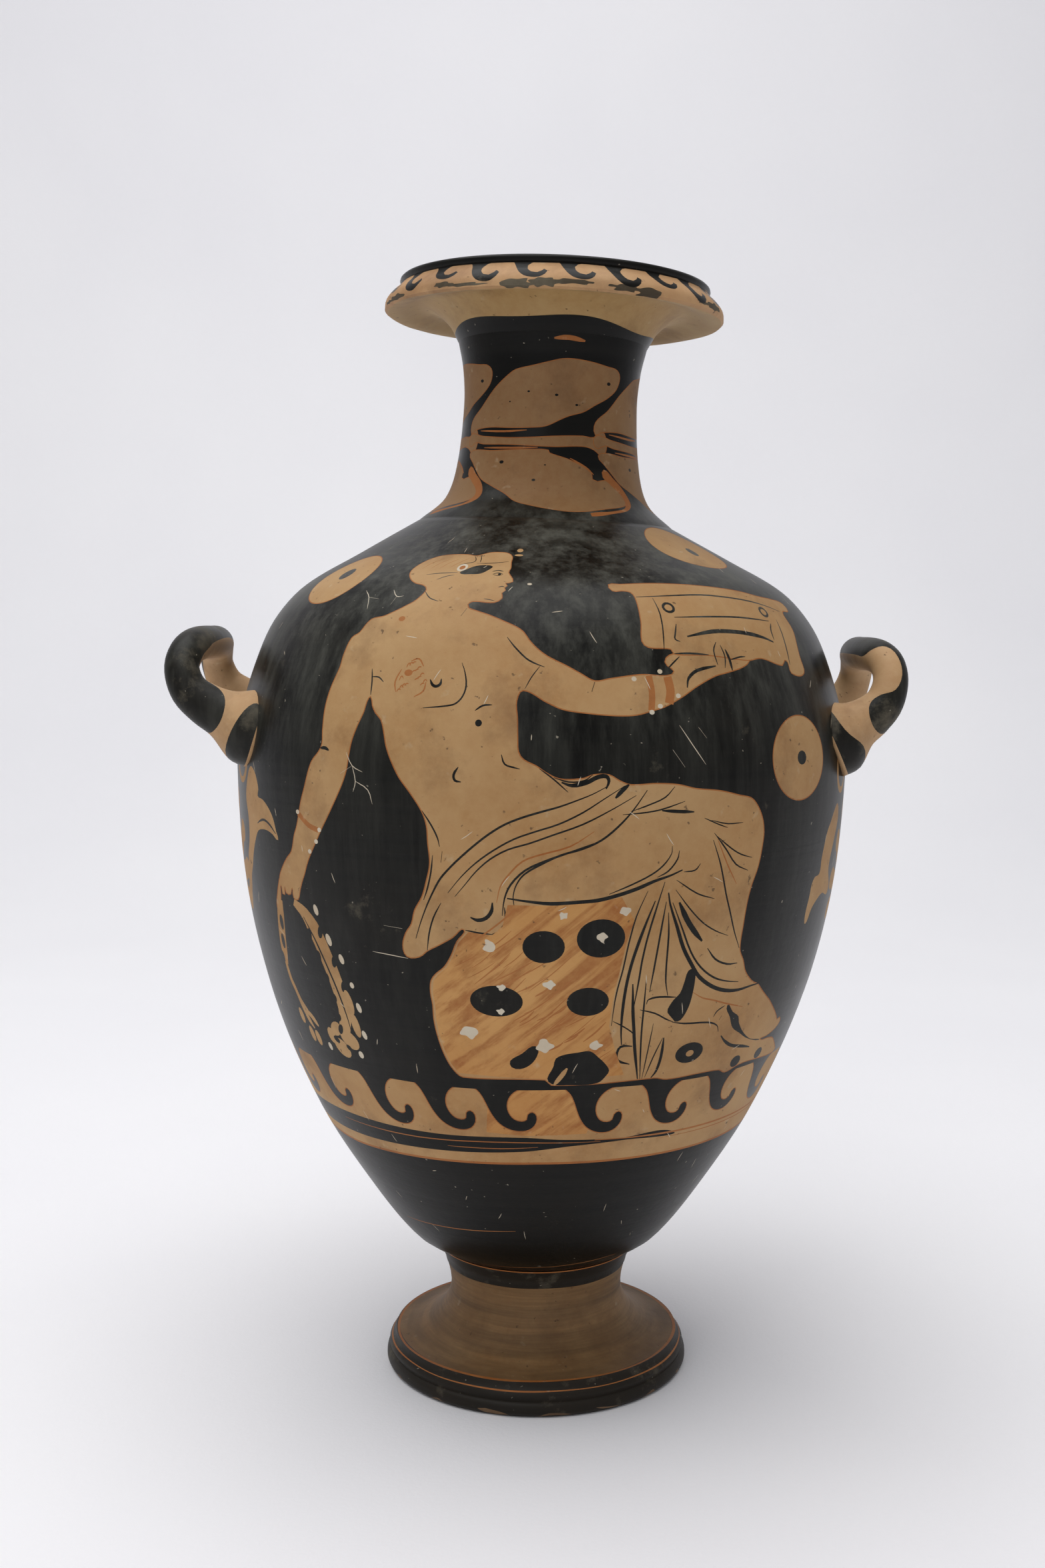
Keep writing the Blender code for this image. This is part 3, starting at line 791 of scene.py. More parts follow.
hand_arm = [(-43.3, 168.8), (-44.3, 167.5), (-44.7, 165.2), (-46, 162), (-47.2, 158.5), (-47.8, 155),
            (-48.3, 151.5), (-49.5, 148.4), (-51.7, 144.5), (-53.9, 141), (-56.4, 137.3), (-59.5, 132.6),
            (-62, 128.9), (-63.6, 125.8), (-65.1, 123.3), (-66.1, 121.4), (-67.5, 118.8), (-69.2, 119),
            (-69.5, 121.5), (-70.5, 119.8), (-72.6, 119.8), (-73, 121.5), (-73.5, 119.2), (-74.4, 119.3),
            (-74.8, 121.5), (-75.6, 119), (-76.9, 115.2), (-78.5, 115.3), (-77, 119.5), (-76, 121.4),
            (-74.5, 124.2), (-70.8, 128.3), (-68.3, 130.4), (-66.7, 134.5), (-65.4, 137), (-63.6, 142.6),
            (-62, 146.4), (-59.5, 152.5), (-57.2, 155), (-56.2, 157), (-56.5, 160), (-56.8, 165.5),
            (-56.3, 170), (-54.8, 175.5), (-54.7, 178.3), (-53.6, 182.6), (-51.5, 184), (-49.3, 187.5),
            (-45.5, 188.5), (-42.5, 190), (-39.5, 191.8), (-37.3, 193.5), (-35.7, 196.9)]
fill(hair + face + arm_top + arm_low + side + rock_edge + back + hand_arm, BARE, EDGE)

# Hair drawn back in a bare mass with a few thin strands, a dark patch by the ear, and the face's
# own calm lines.
fill([(-28.2, 203.7), (-24, 203.2), (-21, 203.6), (-18.8, 205.6), (-18.2, 207.0), (-20.5, 207.6),
      (-24.0, 207.2), (-26.5, 205.6)], BLACK)
HAIR_LINES = ([(-27.0, 212.3), (-25.8, 210.8), (-25.6, 209.4), (-27.6, 208.6), (-30.3, 207.6)],
              [(-24.6, 212.4), (-23.8, 210.8), (-23.4, 208.9)],
              [(-24.4, 208.5), (-19.5, 208.6), (-13.4, 209.6)],
              [(-39.5, 202.9), (-34.5, 203.6), (-29.0, 204.0)],
              [(-34.5, 200.8), (-32.0, 202.2), (-29.6, 202.8)])
for points in HAIR_LINES:
    line(points, 0.32)
for shift in range(4):
    line([(-43.5 + 3.4 * shift, 205.0 + 0.3 * shift), (-41.5 + 3.4 * shift, 208.5),
          (-38.0 + 3.2 * shift, 211.2)], 0.2, BROWN, 0.1, 0.1)
spot(-28.5, 206.3, 1.8, 1.8, PALE)
spot(-28.5, 206.3, 1.0, 1.0, BROWN)
line([(-17.6, 204.5), (-15.8, 205.1), (-14, 204.6)], 0.4)
line([(-17.2, 203.3), (-15.6, 203.9), (-13.9, 203.4)], 0.32)
line([(-17.0, 203.2), (-15.4, 202.7), (-13.9, 203.3)], 0.25)
spot(-15.0, 203.3, 0.5, 0.45)
line([(-13.0, 200.3), (-12.2, 200.0)], 0.25)
line([(-14.2, 198.1), (-13.2, 198.4), (-12.4, 198.2)], 0.3)
line([(-17.6, 194.2), (-16, 193.9), (-14.5, 193.6)], 0.22)
line([(-21.6, 191.3), (-22.8, 189)], 0.3)
line([(-36, 196.4), (-33.5, 194.2), (-30.5, 193.2)], 0.3)
spot(-10.5, 215.5, 1.2, 0.9, BARE)
spot(-10.5, 213.0, 1.6, 0.5, BARE)
spot(-5.2, 199.4, 0.7, 0.4, PALE)

# Arms and torso: thin relief lines and the folds of the dress at the waist.
BODY_LINES = [
    (0.4, [(-9.9, 183.7), (-8, 181.5), (-5, 178.7), (-3, 177.6), (-0.5, 176.7)]),
    (0.25, [(-1.5, 177), (-3.5, 174.3), (-5, 171.5)]),
    (0.4, [(-20.5, 177.3), (-19.5, 175), (-18.9, 172), (-19.5, 169.5), (-21, 167.8), (-23, 167.2),
           (-29, 166.5)]),
    (0.7, [(-28, 173.2), (-27.3, 172), (-26.3, 171.6), (-25.3, 172.2), (-25.2, 173.4)]),
    (0.45, [(-16.3, 166.3), (-14.5, 167.5), (-12.4, 167.7)]),
    (0.4, [(-9.8, 156.6), (-9, 154.5), (-7, 153.8), (-5.6, 153.5)]),
    (0.6, [(-19.5, 153.5), (-20.5, 151.8), (-20.2, 150.5), (-18.8, 150.2)]),
    (0.4, [(-44.5, 175.3), (-43.8, 172.5), (-43.4, 169)]),
    (0.35, [(-44, 173.4), (-42, 173.3), (-40.4, 172.2)]),
    (0.8, [(-56.8, 156), (-55.2, 156.1), (-53.9, 155.6)]),
    (0.35, [(-1.3, 153.7), (2, 151.3), (5.2, 148.5)]),
    (0.35, [(2, 151.7), (5.3, 150.8), (8.7, 151.1), (10.7, 152.5)]),
    (1.0, [(3.7, 150.7), (6, 150), (9.3, 150.7), (11.7, 151.9), (13.7, 152.1), (14.3, 151),
           (13.7, 149.3)]),
    (0.5, [(13.7, 149.7), (10.7, 148.1), (7.3, 146.7), (3.3, 145.2), (-0.7, 144), (-4.7, 142.7),
           (-8.7, 141),
           (-12.3, 138.7), (-16, 135.7), (-19.3, 132.7), (-21.7, 130.3), (-23.7, 128), (-25.3, 125.3),
           (-27.3, 121.3), (-29, 117.3), (-30.5, 113.3)]),
    (1.0, [(19, 150.3), (17.4, 148.9), (15.9, 147.2)]),
    (0.4, [(18, 150), (13.3, 147), (8.7, 144), (3.3, 141.3), (-2, 139.5), (-6.7, 137.7), (-11.3, 135),
           (-15.3, 132), (-18.7, 128.7), (-22, 124.7)]),
    (0.4, [(20.7, 147.8), (15.3, 144.7), (8.7, 141.3), (2, 138.8), (-3.3, 136.8), (-8, 135.3),
           (-12, 133),
           (-15.3, 130), (-18, 126.7), (-20.3, 124)]),
    (0.5, [(23.3, 149), (20, 144.3), (16.7, 140.7), (13, 137.7), (8.7, 135.7), (4, 134.3), (-0.7, 132),
           (-4.3, 129.7), (-6, 127.3), (-6.7, 124.7), (-6.5, 122.3)]),
    (0.5, [(11.3, 137), (5.3, 134.7), (0.7, 133), (-4, 130.7), (-7.3, 127.3), (-8.7, 124),
           (-9.2, 120)]),
    (0.9, [(-8.1, 124.1), (-3.3, 123.5), (2, 123.1), (8.7, 123.5), (12.7, 123.9), (17.3, 125),
           (22, 126.5),
           (26, 128.1), (30, 129.3), (33, 130.5)]),
    (0.4, [(30, 136.1), (29.9, 134.3), (28, 131.7), (25.3, 129.7), (20.7, 127.5), (15.3, 125.3)]),
    (0.4, [(31.9, 135), (31.5, 133), (29.3, 130.3), (26.7, 129)]),
    (0.35, [(17.7, 143.5), (22, 143.8), (26.7, 144.5), (32.7, 146.3)]),
    (0.8, [(27, 144.3), (31.3, 144), (35.2, 143.8)]),
    (0.35, [(30, 149.7), (27.7, 147.3), (24, 145.7), (20, 144.3)]),
    (0.3, [(38, 142.3), (42, 140.7), (44.7, 139.8)]),
    (0.3, [(40, 141.7), (44.7, 140.7), (49.3, 140.8)]),
    (0.45, [(40.8, 137.1), (43.4, 131.2), (45.8, 124.1), (47.8, 119.4), (49.9, 114.7), (52.5, 110.3)]),
    (0.4, [(41, 138.7), (44.7, 134.7), (48, 131), (52, 129.3)]),
    (0.35, [(41.7, 138), (46, 135), (49.3, 133.3), (53, 132.3)]),
    (0.4, [(-28, 143.3), (-25.7, 140), (-24.3, 137.3), (-23.8, 135.3)]),
    (0.35, [(-23.2, 134.3), (-23.5, 131.7)]),
    (0.4, [(-25.5, 133.3), (-26, 129.3), (-27, 125.3), (-28, 122.7)]),
    (0.4, [(-23.7, 122.3), (-25.7, 118.7), (-27, 114.7), (-27.7, 110.7)]),
    (0.9, [(-16.7, 119.3), (-15, 118.7), (-13, 119.3), (-11.7, 121), (-11.5, 123)]),
    (0.4, [(-18, 116.2), (-14.7, 115.7), (-11.7, 115.5)]),
    (0.5, [(-8.7, 122), (-8.5, 118.7), (-10, 116.3), (-11.7, 115.5)]),
    (0.4, [(24.6, 125.9), (22.2, 120), (20.8, 113.5), (19.9, 107.1), (19, 102.4), (18.6, 98.8),
           (18.4, 92.9)]),
    (0.8, [(26.6, 123.5), (24.9, 118.8), (23.4, 114.1), (21.9, 108.2), (21.1, 102.4), (20.9, 96.5),
           (21.2, 91.2), (21.8, 87.6)]),
    (0.5, [(28.7, 127.9), (27.2, 122.4), (25.5, 115.3), (24.6, 109.4), (24.3, 104.7), (23.7, 96.5)]),
    (0.9, [(22.8, 103.5), (23.7, 96.5), (24.6, 91.8), (25.8, 85.9), (28.1, 77.6)]),
    (0.5, [(29.4, 123.2), (28.7, 116.5), (28.1, 109.4), (27.5, 101.2)]),
    (0.5, [(26.2, 104.7), (26.5, 97.6), (26.9, 90.6), (27.8, 83.5), (28.8, 77.6)]),
    (0.5, [(30.2, 120.6), (30.8, 115.3), (31.1, 108.2), (31.6, 103.5), (32.7, 100)]),
    (1.0, [(29.8, 125.3), (30.5, 122.4), (32.8, 117.1), (35.2, 111.8), (38.1, 107.6), (41.1, 104.1),
           (45.8, 101.2), (50.5, 99.7), (55.2, 99.3), (59.9, 99.8), (62.8, 100)]),
    (0.5, [(31.1, 122.9), (34, 117.1), (37.5, 110.6), (41.1, 106.5), (45.8, 103.5), (50.5, 102.1),
           (54.6, 101.5)]),
    (1.4, [(32.8, 122.9), (35.2, 118.8), (37.5, 115.9), (40.3, 113.1)]),
    (0.5, [(42.2, 111.2), (45.2, 108.2), (49.3, 106.6), (52.8, 106.5)]),
    (0.35, [(31.6, 125.9), (35.8, 121.2), (39.9, 117.6), (44, 115.3), (48.1, 113.8)]),
    (0.35, [(31.6, 128.2), (37.5, 124.7), (42.5, 123.2)]),
    (0.35, [(33.4, 130), (36.4, 130.3), (37.7, 131.8)]),
    (0.5, [(27.1, 98.1), (27.5, 99.3), (30.5, 99.8), (35.2, 99.4)]),
    (0.4, [(25.5, 96.8), (29.9, 95.6), (33.4, 93.8), (35.8, 92.8)]),
    (0.5, [(35.2, 92.9), (39.3, 92.1), (46.9, 91.6), (50.5, 90.3), (51.6, 88.4)]),
    (0.4, [(33.4, 88.8), (31.6, 83.5), (30.2, 77.9)]),
    (0.9, [(33.7, 88.8), (34, 83.5), (33.4, 79.4), (32.2, 77.6)]),
    (0.35, [(29.9, 92.9), (29.6, 85), (29.4, 77.6)]),
    (0.7, [(24.9, 87.1), (21.6, 87.1), (20.8, 84.7), (21.6, 83.2), (24.9, 82.1)]),
    (0.35, [(18.7, 94.1), (21.6, 92.6), (24.9, 90.3), (25.2, 88.8)]),
    (0.9, [(53.1, 87.1), (55.2, 85.3), (58.7, 83.5), (64, 82.4), (68.1, 81.5)]),
    (0.4, [(48.4, 92.9), (49.3, 94.4), (51.6, 95.6)]),
    (0.35, [(50.8, 91.8), (51.4, 92.9)]),
]
for width, points in BODY_LINES:
    line(points, width)
for width, points in ((0.4, [(11.3, 139.7), (6, 136.3), (-0.7, 134.3), (-4.7, 132.7), (-8, 129.3),
                             (-9.7, 126.7), (-10.5, 123)]),
                      (0.35, [(42, 137.3), (45.3, 131.3), (48.7, 126.3)]),
                      (0.4, [(39.9, 100.3), (43.4, 98.5), (46.9, 97.6), (51.6, 96.2), (58.7, 94.4)])):
    line(points, width, BROWN)
spot(-15.3, 163.5, 0.8, 0.8)
fill([(52.5, 95.6), (55.2, 93.5), (58.1, 91.8), (59, 90), (62.2, 86.8), (66.9, 84.1), (72.8, 82.8),
      (70.5, 82.9), (64.6, 84.7), (60.5, 86.8), (56.9, 88.8), (54.6, 92.1)], BLACK)


def scattered(number, start, reach, share=0.618):
    """A place from start to start + reach; the places of following numbers spread out evenly."""
    return start + reach * ((number * share) % 1.0)


# A brown stain on the breast: three curved strokes, a scatter of short ones and two spots.
for points in ([(-36.6, 170.0), (-37.2, 172.4), (-36.0, 175.4)],
               [(-33.8, 177.4), (-31.8, 178.0), (-30.2, 176.2)],
               [(-29.0, 172.6), (-29.4, 170.4), (-31.6, 169.0)]):
    line(points, 0.4, BROWN, 0.4, 0.4)
for number in range(16):
    u = scattered(number, -36.4, 7)
    s = scattered(number, 170, 7, 0.414)
    line([(u, s), (u + 0.5, s + 0.7 + 0.4 * math.sin(4 * number)), (u + 1.1, s + 0.5)], 0.32, BROWN,
         0.3, 0.3)
spot(-34.0, 174.6, 1.1, 0.8, BROWN)
spot(-39.5, 188.0, 1.0, 0.7, BROWN)

# The rock: brushed with thinned slip, and marked with black holes.
ROCK = [(-20.4, 79.4), *rock_edge[1:-1], (-17.6, 115.8), (-12, 115.2), (-9.4, 117.5), (-8.2, 122.6),
        (2, 122.6), (12.7, 123.4), (18.5, 124.6), (22, 119), (20.4, 113.5), (19.4, 107.1),
        (18.6, 102.4), (18.2, 98.8), (18.0, 92.9), (20.5, 86), (24, 79.2), (3.6, 78.6)]
ROCK = [(u * 0.985 + 0.1, s) for u, s in ROCK]
painting.append(([Vector(p) for p in ROCK], HATCHED))
for number in range(110):
    u = scattered(number, -30, 49)
    s = 76 + 46 * ((number * 0.3819 + 0.13 * math.sin(number)) % 1.0)
    reach = 5.5 + 4.5 * math.sin(number * 1.3)
    end = (u + reach, s + (0.75 + 0.2 * math.sin(2.2 * number)) * reach)
    if reach > 3 and inside(ROCK, np.array([u, end[0]]), np.array([s, end[1]])).all():
        line([(u, s), ((u + end[0]) / 2 + 0.4, (s + end[1]) / 2), end],
             0.34 + 0.16 * math.sin(5 * number), BROWN)
for u, s, across, up in ((0.5, 112.8, 5.0, 3.9), (14, 114.9, 5.8, 4.6), (-10.9, 99.1, 6.6, 3.9),
                         (11.8, 99.3, 5.3, 3.6), (43.1, 83.6, 4.6, 2.9), (63.3, 78.1, 2.2, 1.7),
                         (75.1, 78.4, 2.1, 1.6)):
    spot(u, s, across, up)
fill([(-7.7, 83.6), (-4.5, 85.7), (-1.9, 87.7), (-0.3, 87.3), (-0.6, 84.9), (-2.4, 82.6), (-5.1, 81.4),
      (-7.4, 81.9)], BLACK)
fill([(2.6, 78.0), (3.9, 82.3), (4.4, 84.4), (6.8, 85.5), (10.2, 86), (13.4, 86.3), (16, 84.4),
      (17.8, 82.8), (19.3, 80.7), (18.6, 79.2), (16.5, 77.3), (9, 76.9)], BLACK)
line([(4.2, 77), (6.2, 79.6), (7.6, 81.7)], 1.3, BARE)
fill([(37.5, 105.9), (39, 106.3), (39.9, 104.7), (39.9, 98.8), (39.3, 95.9), (37.8, 93.2), (36.1, 92.9),
      (35.2, 93.8), (33.4, 95.6), (33.3, 96.5), (34.6, 98.8), (36.1, 100.3), (36.9, 103.2)], BLACK)
spot(43.3, 83.4, 1.3, 0.9, BARE)
for u, s, across, up in ((-12.4, 112.6, 1.6, 1.8), (4.9, 120.3, 1.2, 1.0), (19.4, 121.3, 1.6, 1.2),
                         (14.2, 115.2, 1.5, 1.3), (2.1, 103.6, 1.8, 1.2), (-18.2, 90.7, 2.8, 1.8),
                         (1.3, 87.8, 2.4, 2.1), (14.7, 87.8, 1.9, 1.4), (-9.5, 102.6, 1.3, 0.9),
                         (-9.8, 96.5, 1.2, 0.9)):
    ragged(u, s, across, up)

# The casket on the far hand, its lid rims and panels, and the bracelets on both wrists.
fill([(18.3, 199.7), (21.7, 199.9), (31.7, 200.6), (43.1, 200.6), (54.6, 199.9), (66, 198.6),
      (73.9, 197), (81.7, 196.1), (88.1, 194.7), (87.8, 192.6), (82.1, 191.9), (81.7, 186.9),
      (79.9, 182.6), (79.2, 179.7), (78.9, 175.6), (72.1, 175.6), (71.7, 178.3), (70.3, 178.9),
      (68.5, 177.6), (60.3, 179.4), (54.9, 178.9), (42, 180.1), (32.4, 180.3), (31.7, 181.5),
      (25.6, 181.9), (24.2, 183.3), (24.9, 188.3), (25.1, 195.4), (24.2, 197.2), (21.7, 197.7),
      (18.9, 197.6)], BARE, EDGE)
CASKET_LINES = [
    (0.5, [(25.3, 195.6), (36, 196.3), (47.4, 196.9), (58.1, 196.3), (68.1, 195.1), (75.3, 193.6),
           (80.6, 192.2)]),
    (0.4, [(30.3, 195.4), (30.9, 190.4), (29.7, 181.1)]),
    (0.5, [(32.4, 180.3), (37, 180.4), (42.4, 180.1)]),
    (0.5, [(34.9, 189.7), (46, 190.1), (57.4, 190.1), (70.3, 189.2)]),
    (1.1, [(37.1, 184.6), (45.3, 186), (51.7, 186.1), (58.1, 185.6), (63.9, 184.6), (67.8, 183.4)]),
    (0.45, [(34.8, 187.9), (33.7, 185.1), (33.4, 183.9), (34.7, 183.3)]),
    (0.5, [(70.6, 188.5), (68.9, 186.5), (68.5, 184)]),
    (0.5, [(74.9, 189.7), (73.5, 183.3), (72.4, 177.6)]),
    (0.4, [(45.6, 183.3), (44.2, 181.1), (44.6, 177.6)]),
    (0.4, [(46.7, 182.6), (47.4, 179.7), (46.7, 176.9)]),
    (0.8, [(48, 181.5), (48.7, 179), (48.9, 176.3)]),
    (0.4, [(49, 178.9), (52.4, 179.6), (54.4, 179.7)]),
    (0.8, [(34.6, 172.2), (35.3, 174.4), (38.1, 176.3), (43.9, 177.4)]),
    (0.4, [(29.6, 176.3), (31.6, 178), (33.7, 179.6)]),
    (0.4, [(11.4, 173.4), (10.6, 171.1)]),
]
for width, points in CASKET_LINES:
    line(points, width)
for u, s in ((34.1, 192.5), (70.4, 191.9)):
    spot(u, s, 2.0, 1.65)
    spot(u, s, 1.2, 0.95, BARE)
line([(24.8, 175), (25.2, 171), (24.7, 166.9)], 1.6, BROWN, 1, 1)
line([(29.6, 174.8), (30, 171.5), (29.3, 168.5)], 2.2, BROWN, 1, 1)
line([(-64.8, 140), (-61, 137.5), (-57.6, 136.6)], 1.3, BROWN, 1, 1)
for u, s in ((21, 174.2), (27.8, 176), (31.9, 170.3), (27, 167.9), (24.8, 166.5), (-65, 140.3),
             (-57.2, 136.7), (-58.5, 133.8), (-61, 131.2)):
    spot(u, s, 0.65, 0.55, PALE)

# Three discs that hang in the field.
for u, s, across, up, dot, drop in ((-77.5, 202.5, 14.0, 10.2, 3.0, 1.0),
                                    (71.5, 220.7, 21.5, 10.8, 2.5, -2.3),
                                    (70, 155, 11.3, 10.0, 2.0, 0.0)):
    spot(u, s, across, up, BARE, 0.0, EDGE)
    spot(u + 0.3, s + drop, dot, 0.85 * dot)


# The wreath from the other hand: a notched band of leaves with a dark rib on the right, a thinner
# one with dark ovals on the left, and a loose knot of leaves below.
line([(-69.5, 117.8), (-65.3, 115.5), (-61.8, 111), (-59.0, 105), (-57.0, 99), (-56.0, 92),
      (-57.8, 86.5)], 5.0, BARE, 0.35, 0.8)
for u, s, across, up in ((-64.9, 109.8, 1.2, 2.2), (-62.6, 104.6, 1.3, 2.1), (-61.0, 99.6, 1.5, 1.8),
                         (-59.9, 94.8, 1.8, 1.6), (-60.2, 90.2, 2.2, 1.6), (-60.0, 111.6, 0.9, 1.7),
                         (-56.4, 104.6, 0.9, 1.6), (-54.6, 98.4, 0.8, 1.5)):
    spot(u, s, across, up, BLACK, -15)
for u, s, across, up, turn in ((-53.6, 94.5, 1.3, 3.2, 12), (-52.9, 88.6, 1.4, 3.2, 10),
                               (-56.8, 84.2, 3.6, 2.3, -25), (-61.5, 86.4, 2.4, 1.8, 30),
                               (-60.8, 81.4, 3.4, 2.2, -30), (-64.2, 84.2, 1.6, 2.2, 20)):
    spot(u, s, across, up, BARE, turn)
line([(-66.0, 114.6), (-62.6, 109.5), (-59.6, 103.4), (-57.2, 97.2), (-55.6, 90.8), (-55.2, 86.6)], 0.6)
for u, s, across, up in ((-59.4, 86.6, 0.9, 1.5), (-62.4, 83.4, 1.3, 0.8), (-57.8, 81.8, 1.2, 0.7)):
    spot(u, s, across, up, BLACK, -30)
line([(-76.4, 117.6), (-77.6, 112), (-78.8, 106), (-79.4, 100.5)], 3.6, BARE, 0.7, 0.5)
for u, s in ((-77.4, 111.6), (-78.5, 106.6)):
    spot(u, s, 0.95, 2.0)
spot(-80.6, 101.9, 0.9, 1.9)
for points in ([(-79.6, 101), (-79.0, 97), (-77.4, 93)], [(-78.4, 96), (-76.2, 91.4), (-73.4, 89.2)],
               [(-77.0, 92.4), (-74.6, 87.4), (-72.4, 84.6)],
               [(-74.6, 89.0), (-72.2, 87.9), (-69.8, 85.6)]):
    line(points, 1.5, BARE, 0.8, 0.3)
for u, s in ((-78.1, 87.1), (-74.8, 82.8), (-71.8, 82.2)):
    spot(u, s, 1.2, 2.1, BARE, 15)
for u, s, across, up in ((-60.6, 117.0, 0.8, 1.4), (-57.2, 110, 0.9, 1.6), (-53.6, 105.6, 0.8, 1.3),
                         (-51.4, 99.2, 0.7, 0.8), (-50.4, 93.5, 0.8, 1.3), (-50.4, 86.4, 0.8, 1.2),
                         (-53.6, 80.6, 0.9, 1.0), (-66.6, 80.8, 0.8, 1.1)):
    spot(u, s, across, up, PALE, 20)


def palmette(u, s, size, turn=90.0, petals=9):
    """A fan of rounded petals over a small heart, in the bare clay."""
    for number in range(petals):
        share = number / (petals - 1) * 2 - 1
        way = math.radians(turn + share * 104)
        reach = size * (1 - 0.30 * share * share)
        middle = (u + math.cos(way) * reach * 0.62, s + math.sin(way) * reach * 0.62)
        spot(middle[0], middle[1], reach * 0.38, size * 0.10, BARE, math.degrees(way))
        spot(u + math.cos(way) * reach * 0.90, s + math.sin(way) * reach * 0.90,
             size * 0.11, size * 0.11, BARE)
    spot(u, s, size * 0.20, size * 0.14, BARE)
    spot(u, s, size * 0.09, size * 0.07)


def scroll(u, s, size, start, turns, side, width=1.6):
    """A curling tendril that tightens to its eye."""
    points = []
    for step in range(15):
        share = step / 14
        way = math.radians(start) + side * share * turns * 2 * math.pi
        reach = size * (1 - 0.78 * share)
        points.append((u + reach * math.cos(way), s + reach * math.sin(way)))
    line(points, width, BARE, 0.7, 1)
    spot(points[-1][0], points[-1][1], width * 0.8, width * 0.8, BARE)


# Palmettes and tendrils fill the sides under the handles, and a larger pair the back.
fill([(-90.1, 149.2), (-87, 148.3), (-85.4, 146.4), (-84.5, 143.9), (-85.1, 142.3), (-82, 141.7),
      (-78.9, 140.1), (-76.4, 137.6), (-75.1, 134.5), (-74.3, 132.5), (-77, 133.6), (-79.5, 134.2),
      (-82.6, 134.3), (-85.8, 133.6), (-87.6, 132), (-90.1, 128.9), (-91.4, 127), (-93.3, 123.9),
      (-95.8, 120.8), (-97.9, 117), (-102, 112), (-104, 114), (-100, 120), (-97, 126), (-94, 131),
      (-93.5, 136), (-95, 141), (-93, 146)])
line([(-86.1, 135.4), (-83.9, 136.3), (-81.4, 136.7), (-78.3, 135.8), (-75.4, 133.9)], 0.6)
fill([(81.1, 112.9), (79.8, 115.3), (80.5, 120), (80.8, 122.9), (82.2, 124.7), (85.2, 125.3),
      (85.5, 128.8), (86.6, 132.9), (88.1, 135.9), (90.5, 138.2), (92.2, 140), (96, 142), (98, 138),
      (95, 132), (93, 126), (96.4, 119.4), (89.9, 119.7), (86.4, 118.5), (83.4, 116.5)])
for way in (-1, 1):
    palmette(way * 120, 118, 27)
    palmette(way * 120, 152, 15)
    scroll(way * 100, 150, 9, 90 - way * 60, 1.1, way)
    scroll(way * 146, 146, 10, 90 + way * 50, 1.1, -way)
    scroll(way * 149, 108, 9, 90 + way * 70, 1.0, -way)
    palmette(way * 198, 118, 24)
    palmette(way * 208, 160, 17, 90)
    scroll(way * 222, 138, 10, 80, 1.1, way)
    scroll(way * 174, 140, 10, 100, 1.1, -way)

# Fine scratches and chips through the slip, thickest on the shoulder and by the hand.
for number in range(70):
    u = scattered(number, -100, 200)
    s = scattered(number, 20, 205, 0.7548)
    way = 2.2 * math.sin(3.7 * number)
    reach = 1.2 + 2.2 * abs(math.sin(1.9 * number))
    line([(u, s), (u + 0.5 * reach * math.cos(way), s + 0.45 * reach * math.sin(way)),
          (u + reach * math.cos(way), s + reach * math.sin(way))], 0.18, PALE, 0.2, 0.2)
for points in ([(-48.5, 155.5), (-46.5, 152.5), (-43.5, 151.2)],
               [(-46.5, 152.5), (-45.5, 149), (-46.2, 146.5)],
               [(-45.5, 149), (-42, 147.2), (-40.8, 144)], [(-50, 150.5), (-46.5, 152.5)],
               [(-57.5, 196.5), (-54.5, 194.2), (-52.5, 190.5)], [(-54.5, 194.2), (-50.5, 193.8)],
               [(-47.0, 196.8), (-44.5, 194.6), (-42.2, 194.8)], [(-44.5, 194.6), (-45.2, 192.0)],
               [(31.5, 163.5), (35.0, 158.5), (38.0, 154.5)], [(29.5, 158.0), (32.5, 154.0)],
               [(36.5, 163.0), (38.5, 160.5)], [(-33, 108.2), (-38, 108.6), (-43, 108.9)],
               [(-34, 115.4), (-39, 115.7)]):
    line(points, 0.2, PALE, 0.3, 0.2)


def ribbed_outline():
    """The body's whole outline: from the middle of its base, up the outside and down to its floor."""
    outside = body_outline()
    floor = BODY_BASE + BODY_FLOOR
    within = [p for p in offset(outside, -WALL) if p.y > floor + 0.001 and p.y < BODY_TOP - 0.001]
    rim = Vector((NECK_BASE_RADIUS - WALL, BODY_TOP))
    return [Vector((0.0, BODY_BASE)), *outside, rim, *within[::-1], Vector((0.0, floor))], len(outside)


whole, outside_count = ribbed_outline()
run = [1000 * r for r in lengths(whole)]
foot_edge, shoulder_edge, rim_edge = run[1], run[outside_count], run[outside_count + 1]
floor_edge = run[-2]
body_start = shoulder_edge - 1000 * DRAWING_HEIGHT
body_rows = stacked(rows_between(0, foot_edge, 9, 7), rows_between(foot_edge, foot_edge + 45, 2.6, 3.2),
                    rows_between(foot_edge + 45, shoulder_edge, 2.1, 2.1),
                    rows_between(shoulder_edge, rim_edge, 3, 3),
                    rows_between(rim_edge, floor_edge, 5, 7), rows_between(floor_edge, run[-1], 9, 7))


def body_ground(s):
    """Black outside, from the edge under the foot's collar to the foot of the neck; bare inside."""
    return BLACK if foot_edge < body_start + s < shoulder_edge else BARE


turned_piece("jar_body", whole, DRAWING_RADIUS, body_rows, painting, body_ground, body_start / 1000,
             (SLIP, CLAY, WASH, WHITE), "body")

